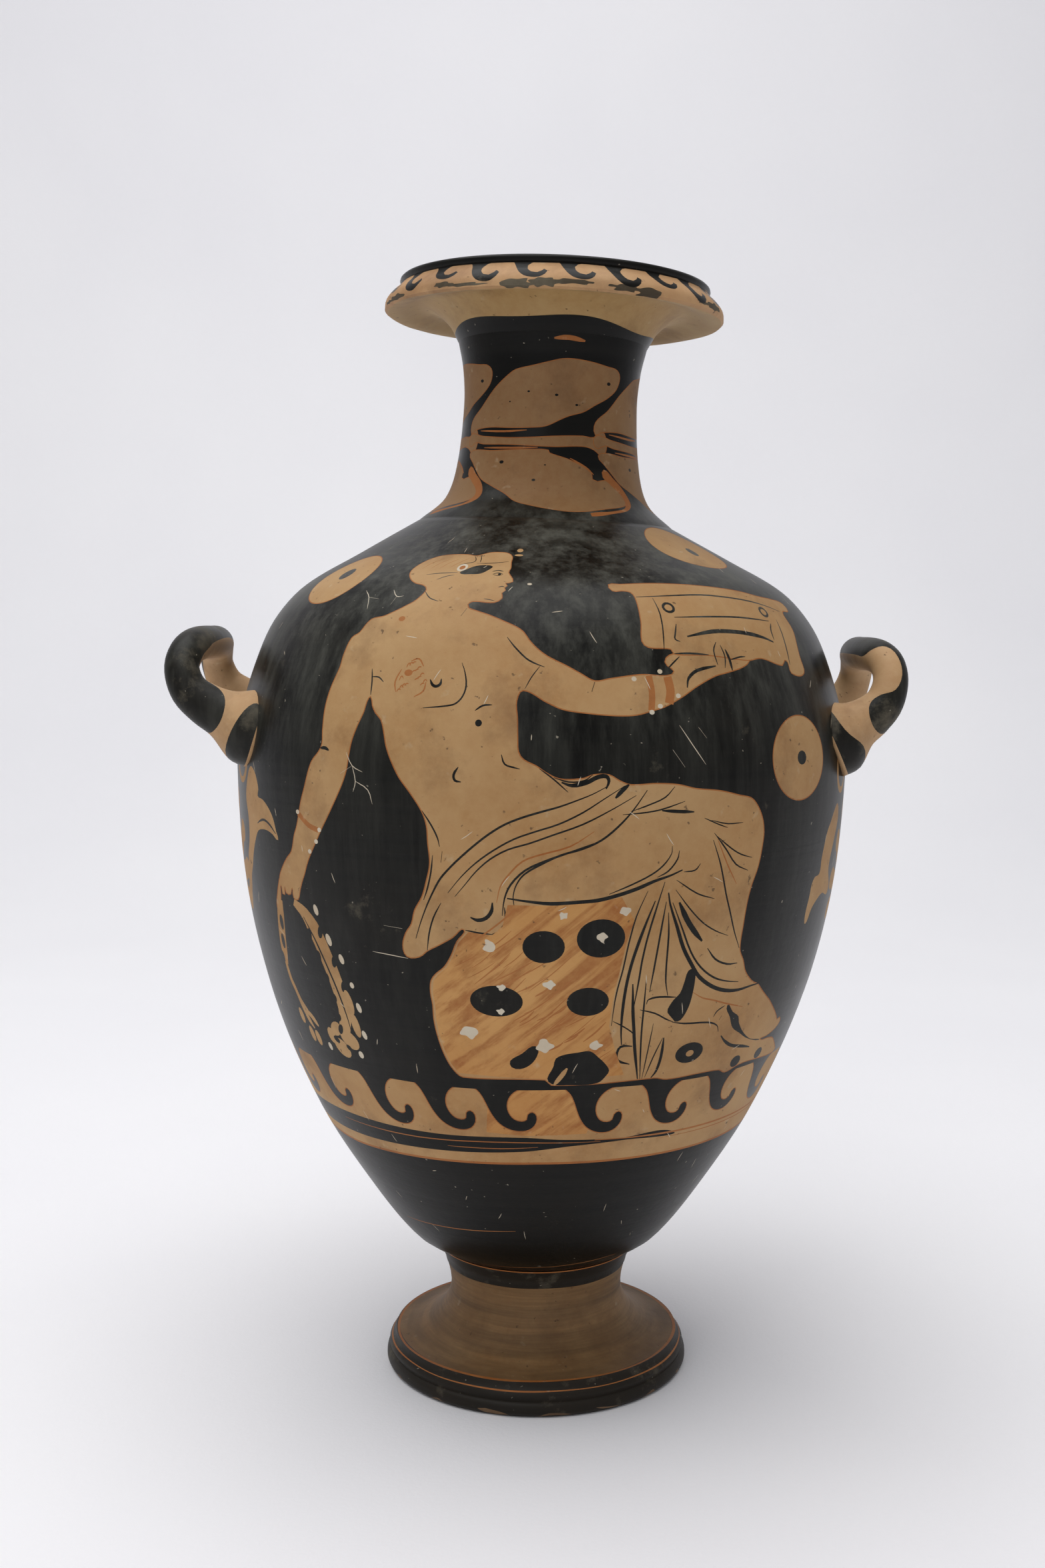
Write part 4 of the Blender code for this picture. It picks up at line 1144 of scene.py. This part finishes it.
# ---- Neck ----------------------------------------------------------------------------------------
# A thrown tube that waists in and opens again under the mouth, luted on the shoulder. A laurel of
# broad bare leaves on one stem runs round it between black grounds, four pairs to the round.
NECK_HEIGHT = 0.0465
NECK_RADIUS = 0.0227
NECK_TOP_RADIUS = 0.0247
NECK_BORE_RADIUS = 0.0178
NECK_TOP = BODY_TOP + NECK_HEIGHT
NECK_DRAWING_RADIUS = 0.0230
JOINT_LAP = 0.00004              # how far the neck and the mouth are let down into their joints


def neck_outline():
    """The outside of the neck, as (radius, height) places from the shoulder to the mouth."""
    points = [(NECK_BASE_RADIUS, 0.0), (0.62 * NECK_RADIUS + 0.38 * NECK_BASE_RADIUS, 0.13),
              (0.88 * NECK_RADIUS + 0.12 * NECK_BASE_RADIUS, 0.32), (NECK_RADIUS, 0.66),
              (0.7 * NECK_RADIUS + 0.3 * NECK_TOP_RADIUS, 0.86), (NECK_TOP_RADIUS, 1.0)]
    return smooth([(out, BODY_TOP + up * NECK_HEIGHT) for out, up in points], 6)


outside = neck_outline()
outside[0].y -= JOINT_LAP
base_bore = NECK_BASE_RADIUS - WALL
bore = smooth([(base_bore, outside[0].y),
               (0.5 * (base_bore + NECK_BORE_RADIUS), BODY_TOP + 0.16 * NECK_HEIGHT),
               (NECK_BORE_RADIUS, BODY_TOP + 0.45 * NECK_HEIGHT), (NECK_BORE_RADIUS, NECK_TOP)], 5)
neck_line = [*outside, *bore[::-1], outside[0].copy()]
run = [1000 * r for r in lengths(neck_line)]
neck_top_edge, bore_top, bore_base = run[len(outside) - 1], run[len(outside)], run[-2]
UPPER_LEAF = [(-24.2, 28.6), (-20.4, 31.8), (-15.8, 36.4), (-11.3, 39.8), (-9.5, 40.8), (-4.9, 41.8),
              (-1.3, 42.7), (2.4, 43.6), (5.5, 43.7), (10.1, 43.3), (15.1, 42.6), (17.4, 42.4),
              (19, 41.4), (19.3, 39.8), (18.3, 37.5), (15.5, 35.2), (11.5, 33), (8.3, 31.1),
              (4.6, 29.9), (2.4, 28.9), (-1.3, 27.1), (-5, 26.7), (-10, 26.6), (-17, 26.9),
              (-22.5, 26.4), (-24.3, 25.7)]
STALK = [(-24.2, 25.2), (-19, 24.5), (-11.3, 23.9), (-4.9, 24), (1.5, 24.5), (8.3, 24.9), (11.5, 24.8),
         (13.3, 26.9), (15, 25), (15, 22), (13.7, 20.5), (11.5, 21.8), (8.7, 22.5), (0.5, 22),
         (-11.3, 22.4), (-18.5, 22.7), (-21.3, 23.2), (-24.2, 22.4)]
SLIPPED_BORE = 30                # how far down inside the neck its slip runs
LOWER_LEAF = [(-21.3, 21.1), (-14.9, 20.7), (-4.9, 21), (-0.4, 20.9), (-0.1, 20.2), (5.1, 18.6),
              (10.3, 15.9), (10.5, 14.1), (11.9, 13.6), (14.2, 14.1), (16, 12.7), (17.8, 11.1),
              (18.7, 9.5), (18.3, 7.7), (15.5, 6.4), (11.5, 5.2), (6.9, 3.6), (3.7, 3.3), (0.1, 4.1),
              (-3.1, 5.2), (-6.7, 6.8), (-9.5, 9.3), (-13.5, 11.6), (-17.2, 13.6), (-19.5, 15.9),
              (-21.7, 18.2), (-23.5, 20.3)]
painting = []
repeat = 2 * math.pi * 1000 * NECK_DRAWING_RADIUS / 4
for number in range(-2, 3):
    shift = number * repeat
    rub = [(8, 1.6), (13, 3.4), (18, 5.6), (20.5, 8.5), (19.6, 12), (16.6, 15), (14, 17), (13.5, 15),
           (17.5, 11), (18, 7), (13, 4.4), (8, 3)]
    fill([(u + shift, s) for u, s in rub], BROWN)
    for shape in (UPPER_LEAF, STALK, LOWER_LEAF):
        fill([(u + shift, s) for u, s in shape], BARE, 0.2)
    line([(-20 + shift, 26.0), (-12 + shift, 25.6), (-6 + shift, 25.9)], 0.5, BROWN)
    line([(-18 + shift, 21.6), (-10 + shift, 21.4), (-3 + shift, 21.6)], 0.5, BROWN)
    line([(5 + shift, 19.2), (9 + shift, 17.1), (11 + shift, 15.4)], 0.45, BROWN)
    for u, s, size in ((-6, 35.5, 0.35), (1.2, 34.8, 0.45), (15.6, 38.6, 0.6), (-11, 33, 0.25),
                       (6.5, 32.6, 0.4), (-12, 17.8, 0.6), (-1, 17.2, 0.25), (-3.5, 13.2, 0.45)):
        spot(u + shift, s, size, size * 0.7, BLACK, 0)
line([(0, 48.6), (3.5, 48.9), (7.5, 48.3)], 1.2, BROWN)
NECK_SLIP = slip_finish("neck slip", (8, 8, 6), 0.03, 0.22, 1.0)
# The neck's bare clay is painted darker than the belly's: painted shade under the overhanging mouth.
NECK_CLAY_IN_PAINTED_SHADE = clay_finish("neck clay darkened as painted shade", (142, 110, 74), 10, 0.12)
neck_rows = matched(stacked(rows_between(0, neck_top_edge, 1.3, 1.5),
                            rows_between(neck_top_edge, bore_top, 2, 2),
                            rows_between(bore_top, bore_base, 3, 3),
                            rows_between(bore_base, run[-1], 2.5, 2.5)))
turned_piece("jar_neck", neck_line, NECK_DRAWING_RADIUS, neck_rows, painting,
             lambda s: BLACK if s < bore_top + SLIPPED_BORE else BARE, 0.0,
             (NECK_SLIP, NECK_CLAY_IN_PAINTED_SHADE, WASH, WHITE), "neck")

# ---- Mouth ---------------------------------------------------------------------------------------
# An overhanging turned lip with a ridge round its dished top. The ridge and the dish are black;
# small running waves hang from the ridge over the bare, pinkish face; the underside is buff clay.
MOUTH_HEIGHT = 0.0158
LIP_RADIUS = 0.0443
DISH_RADIUS = 0.0385
LIP_WAVES = 23
LIP_SMUDGES = 40
BASE_EDGE = 0.3                  # where the slip at the underside's root begins
BARE_REACH = 0.9                 # how far the face's clay runs on under the lip
MOUTH_BASE = NECK_TOP - JOINT_LAP
MOUTH_TOP = NECK_TOP + MOUTH_HEIGHT


def lip_line(shares, spans):
    """A rounded stretch of the lip, through places given as shares of its overhang and height."""
    return smooth([(NECK_TOP_RADIUS + out * (LIP_RADIUS - NECK_TOP_RADIUS),
                    MOUTH_BASE + up * (MOUTH_TOP - MOUTH_BASE)) for out, up in shares], spans)


underside = lip_line([(0.0, 0.0), (0.16, 0.32), (0.47, 0.56), (0.86, 0.43), (0.97, 0.42)], 5)
lip_face = lip_line([(0.995, 0.455), (0.985, 0.58), (0.91, 0.705), (0.83, 0.79), (0.80, 0.835)], 5)
ridge = lip_line([(0.782, 0.86), (0.80, 0.895), (0.805, 0.935), (0.785, 0.97), (0.745, 0.985)], 3)
dish = smooth([(DISH_RADIUS - 0.0006, MOUTH_TOP - 0.0004),
               (0.62 * DISH_RADIUS + 0.38 * NECK_BORE_RADIUS, MOUTH_BASE + 0.86 * MOUTH_HEIGHT),
               (0.24 * DISH_RADIUS + 0.76 * NECK_BORE_RADIUS, MOUTH_BASE + 0.50 * MOUTH_HEIGHT),
               (NECK_BORE_RADIUS, MOUTH_BASE)], 6)
mouth_line = [*underside, *lip_face, *ridge, *dish, underside[0].copy()]
run = [1000 * r for r in lengths(mouth_line)]
lip_edge = run[len(underside)]
face_top = run[len(underside) + len(lip_face)]
dish_start = run[len(underside) + len(lip_face) + len(ridge)]
dish_end = run[-2]
mouth_mm = 1000 * LIP_RADIUS
half_round = math.pi * mouth_mm
painting = []
black_base = band(mouth_mm, BASE_EDGE, 3.4, 1.5, 2, 0.4)
for point in black_base[:len(black_base) // 2]:
    point.y = BASE_EDGE
painting.append((black_base, BLACK))
painting.append((band(mouth_mm, lip_edge - BARE_REACH, face_top, 0.25, 5), BARE))
for number in range(LIP_SMUDGES):
    u = -half_round + 9 + (2 * half_round - 18) * number / (LIP_SMUDGES - 1)
    if math.sin(1.7 * number + 0.6) > -0.35:
        ragged(u, lip_edge + 0.8 + 0.5 * math.sin(number), 3.0 + 3.5 * abs(math.sin(2.3 * number)),
               1.0 + 0.5 * math.sin(5 * number), BROWN, 13)
LIP_WAVE = [(-4.8, 0.0), (-4.2, -0.5), (-3.6, -1.6), (-2.9, -2.9), (-1.8, -3.9), (-0.2, -4.3),
            (1.2, -4.2), (2.3, -3.5), (2.7, -2.7), (2.0, -2.2), (1.6, -2.7), (0.7, -3.2), (-0.4, -3.0),
            (-1.2, -2.2), (-1.3, -1.2), (-0.6, -0.5), (0.8, -0.2), (2.0, 0.0)]
period = 2 * half_round / LIP_WAVES
face_reach = (face_top - lip_edge) / 6.2
for number in range(LIP_WAVES + 1):
    middle = -half_round + period * number
    lift = 0.15 * math.sin(2.6 * (number % LIP_WAVES))
    fill([(middle + 1.3 * u, face_top + 0.15 + s * face_reach * (1.15 + lift)) for u, s in LIP_WAVE],
         BLACK)
painting.append((band(mouth_mm, face_top - 0.35, face_top + 0.2, 0.1, 7), BLACK))
SMUDGE = slip_finish("smudged slip", (66, 58, 46), 0.20, 0.45)
LIP_CLAY = clay_finish("pinkish lip clay", (180, 143, 102), 14, 0.14)
BUFF = clay_finish("buff underside clay", (176, 147, 100), 12, 0.14)
mouth_rows = matched(stacked(rows_between(0, lip_edge, 1.6, 2.2),
                             rows_between(lip_edge, face_top, 0.7, 1.2),
                             rows_between(face_top, dish_start, 0.5, 1.8),
                             rows_between(dish_start, dish_end, 2.0, 2.6),
                             rows_between(dish_end, run[-1], 3.5, 4)))
turned_piece("jar_mouth", mouth_line, LIP_RADIUS, mouth_rows, painting,
             lambda s: PALE if BASE_EDGE < s < lip_edge - BARE_REACH else BLACK, 0.0,
             (NECK_SLIP, LIP_CLAY, SMUDGE, BUFF), "mouth")

# ---- Foot ----------------------------------------------------------------------------------------
# Turned in one piece: a collar under the body, a short stem that flares to a disc with two rounded
# mouldings, and a hollow turned out beneath. Collar and mouldings are black, the flare bare.
FOOT_RADIUS = 0.0409
FOOT_EDGE_HEIGHT = 0.0065
FOOT_FLARE_RADIUS = 0.0384
STEM_RADIUS = 0.0232
STEM_LEVEL = 0.0215
COLLAR_RADIUS = 0.0268
COLLAR_FOOT_RADIUS = 0.0247
COLLAR_HEIGHT = 0.0052
HOLLOW_RADIUS = 0.0318
HOLLOW_DEPTH = 0.0125
FLARE_STEPS = 18
HOLLOW_STEPS = 10

hollow = []
for step in range(HOLLOW_STEPS + 1):
    turn = math.pi / 2 * step / HOLLOW_STEPS
    hollow.append((HOLLOW_RADIUS * math.sin(turn), HOLLOW_DEPTH * math.cos(turn)))
mouldings = smooth([(FOOT_RADIUS - 0.0012, 0.0), (FOOT_RADIUS - 0.0001, 0.0010), (FOOT_RADIUS, 0.0024),
                    (FOOT_RADIUS - 0.0003, 0.0034), (FOOT_RADIUS - 0.0011, 0.0040),
                    (FOOT_RADIUS - 0.0007, 0.0048), (FOOT_RADIUS - 0.0008, 0.0058),
                    (FOOT_RADIUS - 0.0014, 0.0065), (FOOT_FLARE_RADIUS + 0.0004, 0.0070)], 4)
flare_base = FOOT_EDGE_HEIGHT + 0.2 * (STEM_LEVEL - FOOT_EDGE_HEIGHT) / 1.5
flare = []
for step in range(FLARE_STEPS + 1):
    turn = math.pi / 2 * (1 - step / FLARE_STEPS)
    flare.append((STEM_RADIUS + (FOOT_FLARE_RADIUS - STEM_RADIUS) * (1 - math.cos(turn)),
                  STEM_LEVEL - (STEM_LEVEL - flare_base) * math.sin(turn)))
collar_base = FOOT_HEIGHT - JOINT_GAP - COLLAR_HEIGHT
stem_top = smooth([(STEM_RADIUS + 0.0003, STEM_LEVEL + 0.0026),
                   (COLLAR_FOOT_RADIUS - 0.0004, collar_base - 0.0004),
                   (COLLAR_FOOT_RADIUS, collar_base + 0.0004),
                   (COLLAR_FOOT_RADIUS + 0.0002, collar_base + 0.3 * COLLAR_HEIGHT),
                   (COLLAR_RADIUS, FOOT_HEIGHT - JOINT_GAP)], 4)
foot_line = [Vector(p) for p in [(0.0, HOLLOW_DEPTH), *hollow[1:], *mouldings, *flare, *stem_top,
                                 (0.0, FOOT_HEIGHT - JOINT_GAP)]]
run = [1000 * r for r in lengths(foot_line)]
ring_inner = run[len(hollow) - 1]
ring_outer = run[len(hollow)]
flare_start = run[len(hollow) + len(mouldings)]
stem_start = run[len(hollow) + len(mouldings) + len(flare)]
collar_start = stem_start + 3.4
foot_top = run[-2]
foot_mm = 1000 * FOOT_RADIUS
painting = [(band(foot_mm, flare_start + 0.9, collar_start, 0.12, 4), BARE),
            (band(foot_mm, flare_start + 0.1, flare_start + 0.9, 0.2, 3), BROWN),
            (band(foot_mm, flare_start - 2.6, flare_start - 2.25, 0.12, 5), BROWN),
            (band(foot_mm, foot_top - 0.4, foot_top, 0.0), BROWN)]
for number in range(16):
    u = -124 + 15.5 * number
    line([(u, ring_outer + 1.2 + math.sin(3 * number)), (u + 3, ring_outer + 1.6),
          (u + 6 + 3 * math.sin(number), ring_outer + 1.1)],
         0.9 + 0.5 * math.sin(2 * number), PALE, 0.1, 0.1)
FOOT_SLIP = slip_finish("worn foot slip", (32, 28, 23), 0.15, 0.34)
# The foot's bare clay is painted darker than the belly's: painted shade under the overhanging belly; its
# rubbed spots are wear.
FOOT_CLAY_IN_PAINTED_SHADE = clay_finish("rubbed foot clay", (136, 106, 70), 12, 0.14, 0.75)
FOOT_WORN = clay_finish("brown brushing on the foot", (112, 90, 66), 10, 0.20)
foot_rows = stacked(rows_between(0, ring_inner, 5, 6),
                    rows_between(ring_inner, ring_outer, 3, 3),
                    rows_between(ring_outer, flare_start, 0.6, 1.8),
                    rows_between(flare_start, stem_start, 1.3, 1.9),
                    rows_between(stem_start, foot_top, 0.8, 2.2),
                    rows_between(foot_top, run[-1], 6, 6))
turned_piece("jar_foot", foot_line, FOOT_RADIUS, foot_rows, painting,
             lambda s: BARE if s < ring_inner else BLACK, 0.0, (FOOT_SLIP, FOOT_CLAY_IN_PAINTED_SHADE, WASH, FOOT_WORN),
             "foot")

# ---- Handles -------------------------------------------------------------------------------------
# Rolls of clay bent by hand: two upturned loops whose arms are smoothed out on to the belly, and
# one upright strap behind. A flat sheet carries each one's slip, then is wrapped round its path.
SIDE_HANDLE_RADIUS = 0.0045
ARM_FLARE = 2.2
SIDE_HANDLE_RISE = 0.0202
SIDE_HANDLE_HOOK = 0.0028
HANDLE_ROOT = BELLY + 0.0110
BACK_HANDLE_WIDTH = 0.0170
BACK_HANDLE_THICKNESS = 0.0085
BACK_HANDLE_ROOT_RADIUS = 0.0560
BACK_HANDLE_TOP_DROP = 0.0050
PATH_STEPS = 6
ROLL_INSET = 0.98                # how much of the solid's thickness a side handle takes
STRAP_INSET = 0.985              # and the back handle
ROLL_WELD = 0.000005


def radius_at(outline, level):
    """How far out an outline stands at a level."""
    crossings = [low.x + (level - low.y) / max(high.y - low.y, 1e-9) * (high.x - low.x)
                 for low, high in zip(outline, outline[1:]) if low.y <= level <= high.y]
    return max(crossings)


def roll_tree():
    """Wraps a flat sheet round a path: across goes round the roll from its outer side."""
    tree, entry = tree_with("rolled by hand", ("Path", "NodeSocketObject"),
                            ("Drawing Radius", "NodeSocketFloat"), ("Widen", "NodeSocketFloat"),
                            ("Middle", "NodeSocketVector"), ("Weld", "NodeSocketFloat"),
                            *[(label, "NodeSocketMaterial") for label in PAINTS])
    across, along, _ = separate(tree, node(tree, "GeometryNodeInputPosition"))
    path = node(tree, "GeometryNodeObjectInfo", {}, {0: entry.other("Path")}, "Geometry")
    thickness = node(tree, "GeometryNodeInputRadius")
    half_thick = node(tree, "GeometryNodeSampleCurve", {"mode": "LENGTH"},
                      {"Curves": path, "Value": thickness, "Length": along})
    place, ahead = half_thick.other("Position"), half_thick.other("Tangent")

    def vector(operation, *values, output=0):
        return node(tree, "ShaderNodeVectorMath", {"operation": operation},
                    dict(enumerate(values)), output)

    def scaled(value, factor):
        return node(tree, "ShaderNodeVectorMath", {"operation": "SCALE"}, {0: value, "Scale": factor})

    from_middle = vector("SUBTRACT", place, entry.other("Middle"))
    lengthwise = vector("DOT_PRODUCT", from_middle, ahead, output="Value")
    outward = vector("NORMALIZE", vector("SUBTRACT", from_middle, scaled(ahead, lengthwise)))
    aside = vector("CROSS_PRODUCT", ahead, outward)
    turn = across / entry.other("Drawing Radius")
    out_by = scaled(outward, turn.maths("COSINE", turn) * half_thick)
    side_by = scaled(aside, turn.maths("SINE", turn) * half_thick * entry.other("Widen") * -1.0)
    x, y, z = separate(tree, vector("ADD", vector("ADD", place, out_by), side_by))
    wrapped = node(tree, "GeometryNodeSetPosition", {},
                   {0: entry.other("Geometry"), "Position": leant(tree, x, y, z)})
    close_tree(tree, wrapped, entry)
    return tree


ROLL = roll_tree()


def rolled_piece(name, path, middle, widen, painting, paints, replaced):
    """Bend one painted handle along its path of (place, half thickness) and fix it to the frame."""
    guide_path = guide(name + " path", path)
    length = 1000 * lengths([Vector(place) for place, half_thick in path])[-1]
    rows = rows_between(0, length, 1.1, 0.9)
    piece = sheet(name, 1000 * SIDE_HANDLE_RADIUS, rows, painting(length), lambda s: BARE, 0.0)
    shaped(piece, ROLL, path=guide_path, drawing_radius=SIDE_HANDLE_RADIUS, widen=widen, middle=middle,
           weld=ROLL_WELD, slip=paints[0], clay=paints[1], wash=paints[2], white=paints[3], ochre=OCHRE)
    ends = bmesh.new()
    ends.from_mesh(piece.data)
    bmesh.ops.holes_fill(ends, edges=[e for e in ends.edges if e.is_boundary], sides=0)
    bmesh.ops.reverse_faces(ends, faces=ends.faces)
    ends.to_mesh(piece.data)
    ends.free()
    bpy.data.objects.remove(guide_path, do_unlink=True)
    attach(piece, "root")
    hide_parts(replaced)


def side_handle(side, reach, spread):
    """The path of a side handle from its far root to its near one, and the middle of its loop."""
    root = math.sqrt(radius_at(body_outline(), HANDLE_ROOT) ** 2 - spread**2)
    out = BELLY_RADIUS + reach - root
    rise = SIDE_HANDLE_RISE
    arm = [(root - 0.30 * out, spread, -0.10 * rise, ARM_FLARE), (root, spread, 0.0, ARM_FLARE),
           (root + 0.34 * out, spread, 0.13 * rise, 1 + 0.38 * (ARM_FLARE - 1)),
           (root + 0.62 * out, spread, 0.25 * rise, 1 + 0.20 * (ARM_FLARE - 1)),
           (root + 0.87 * out, 0.99 * spread, 0.42 * rise, 1 + 0.08 * (ARM_FLARE - 1)),
           (root + out, 0.94 * spread, 0.68 * rise, 1.0),
           (root + 0.97 * out, 0.81 * spread, 0.88 * rise, 1.0),
           (root + out - 0.6 * SIDE_HANDLE_HOOK, 0.58 * spread, 0.98 * rise, 1.0)]
    bar = [(root + out - SIDE_HANDLE_HOOK, 0.0, rise, 1.0)]
    points = arm + bar + [(x, -y, z, thick) for x, y, z, thick in reversed(arm)]
    places = smooth([(side * x, y, HANDLE_ROOT + z) for x, y, z, thick in points], PATH_STEPS)
    thickness = smooth([(index, thick) for index, (x, y, z, thick) in enumerate(points)], PATH_STEPS)
    middle = (side * (root + 0.45 * out), 0.0, HANDLE_ROOT + 0.5 * rise)
    path = [(place, share.y * SIDE_HANDLE_RADIUS * ROLL_INSET) for place, share in zip(places, thickness)]
    return path, middle


def left_slip(length):
    """Slip on the left handle: outer side, from the middle of each arm, and a patch at each root."""
    near, far = 0.870 * length, 0.20 * length
    shapes = [[(-7.5, far + 3), (-3, far - 2), (3, far), (7, far + 2), (8.5, 0.34 * length),
               (8.2, 0.5 * length), (8.8, 0.66 * length), (7.8, near - 5), (5.5, near + 1),
               (1, near + 4), (-3, near + 3), (-6.5, near), (-8.5, near - 7), (-8.0, 0.5 * length),
               (-8.6, 0.34 * length)],
              [(-5, 0.950 * length), (-1, 0.938 * length), (3, 0.945 * length), (4.5, 0.965 * length),
               (3, 0.985 * length), (-5, 0.985 * length)],
              [(-5, 0.02 * length), (4, 0.02 * length), (3, 0.08 * length), (-3, 0.09 * length)]]
    return [(loop_line(shape), BLACK) for shape in shapes]


def right_slip(length):
    """Slip on the right handle: along the top and the outer edge only, and a patch at each root."""
    edge = [(-7, 0.24), (-2, 0.20), (4, 0.22), (8, 0.34), (8.5, 0.5), (9, 0.62), (9, 0.72), (8, 0.80),
            (5.5, 0.862), (1, 0.885), (-2.5, 0.875), (-4.2, 0.845), (-3.4, 0.815), (-0.5, 0.79),
            (0.8, 0.76), (0.6, 0.725), (-1.2, 0.695), (-4.5, 0.68), (-7, 0.665), (-8.5, 0.64),
            (-8.5, 0.38)]
    patch = [(-6, 0.965), (-2, 0.955), (1.5, 0.932), (4.5, 0.945), (6, 0.985), (-6, 0.985)]
    return [(loop_line([(u, share * length) for u, share in shape]), BLACK) for shape in (edge, patch)]


def strap_slip(length):
    """Slip on the back handle: all of its outer side and edges."""
    shape = [(-9.5, 0.06 * length), (9.5, 0.06 * length), (9.2, 0.3 * length), (9.6, 0.6 * length),
             (9.2, 0.95 * length), (-9.4, 0.95 * length), (-9.2, 0.5 * length)]
    return [(loop_line(shape), BLACK)]


HANDLE_SLIP = slip_finish("rubbed handle slip", (20, 19, 16), 0.20, 0.30, 0.8)
HANDLE_CLAY = clay_finish("handled clay", (180, 148, 110), 12, 0.10)
paints = (HANDLE_SLIP, HANDLE_CLAY, WASH, WHITE)
path, middle = side_handle(-1, 0.0109, 0.0274)
rolled_piece("jar_side_handle_left", path, middle, 1.0, left_slip, paints,
             "side_handle_left")
path, middle = side_handle(1, 0.0077, 0.0250)
rolled_piece("jar_side_handle_right", path, middle, 1.0, right_slip, paints,
             "side_handle_right")

root = BACK_HANDLE_ROOT_RADIUS
shoulder = [p for p in body_outline() if p.y >= BELLY]
low = next(p.y for p, after in zip(shoulder, shoulder[1:]) if after.x <= root <= p.x)
high = NECK_TOP - BACK_HANDLE_TOP_DROP
climb = high - low
neck_side = radius_at(neck_outline(), high - 0.002)
strap = smooth([(0.0, y, z) for y, z in (
    (0.93 * root, low - 0.10 * climb), (root, low), (1.03 * root, low + 0.25 * climb),
    (0.96 * root, low + 0.55 * climb), (neck_side + 0.62 * (root - neck_side), low + 0.82 * climb),
    (neck_side + 0.28 * (root - neck_side), low + 0.96 * climb), (0.86 * neck_side, high))], PATH_STEPS)
last = len(strap) - 1
path = []
for k, place in enumerate(strap):
    flared = 1.0 + 0.30 * max(0.0, 1.0 - min(k, last - k) / 8)
    path.append((place, BACK_HANDLE_THICKNESS / 2 * STRAP_INSET * flared))
rolled_piece("jar_back_handle", path, (0.0, 0.4 * root, low + 0.4 * climb),
             BACK_HANDLE_WIDTH / BACK_HANDLE_THICKNESS, strap_slip, paints, "back_handle")
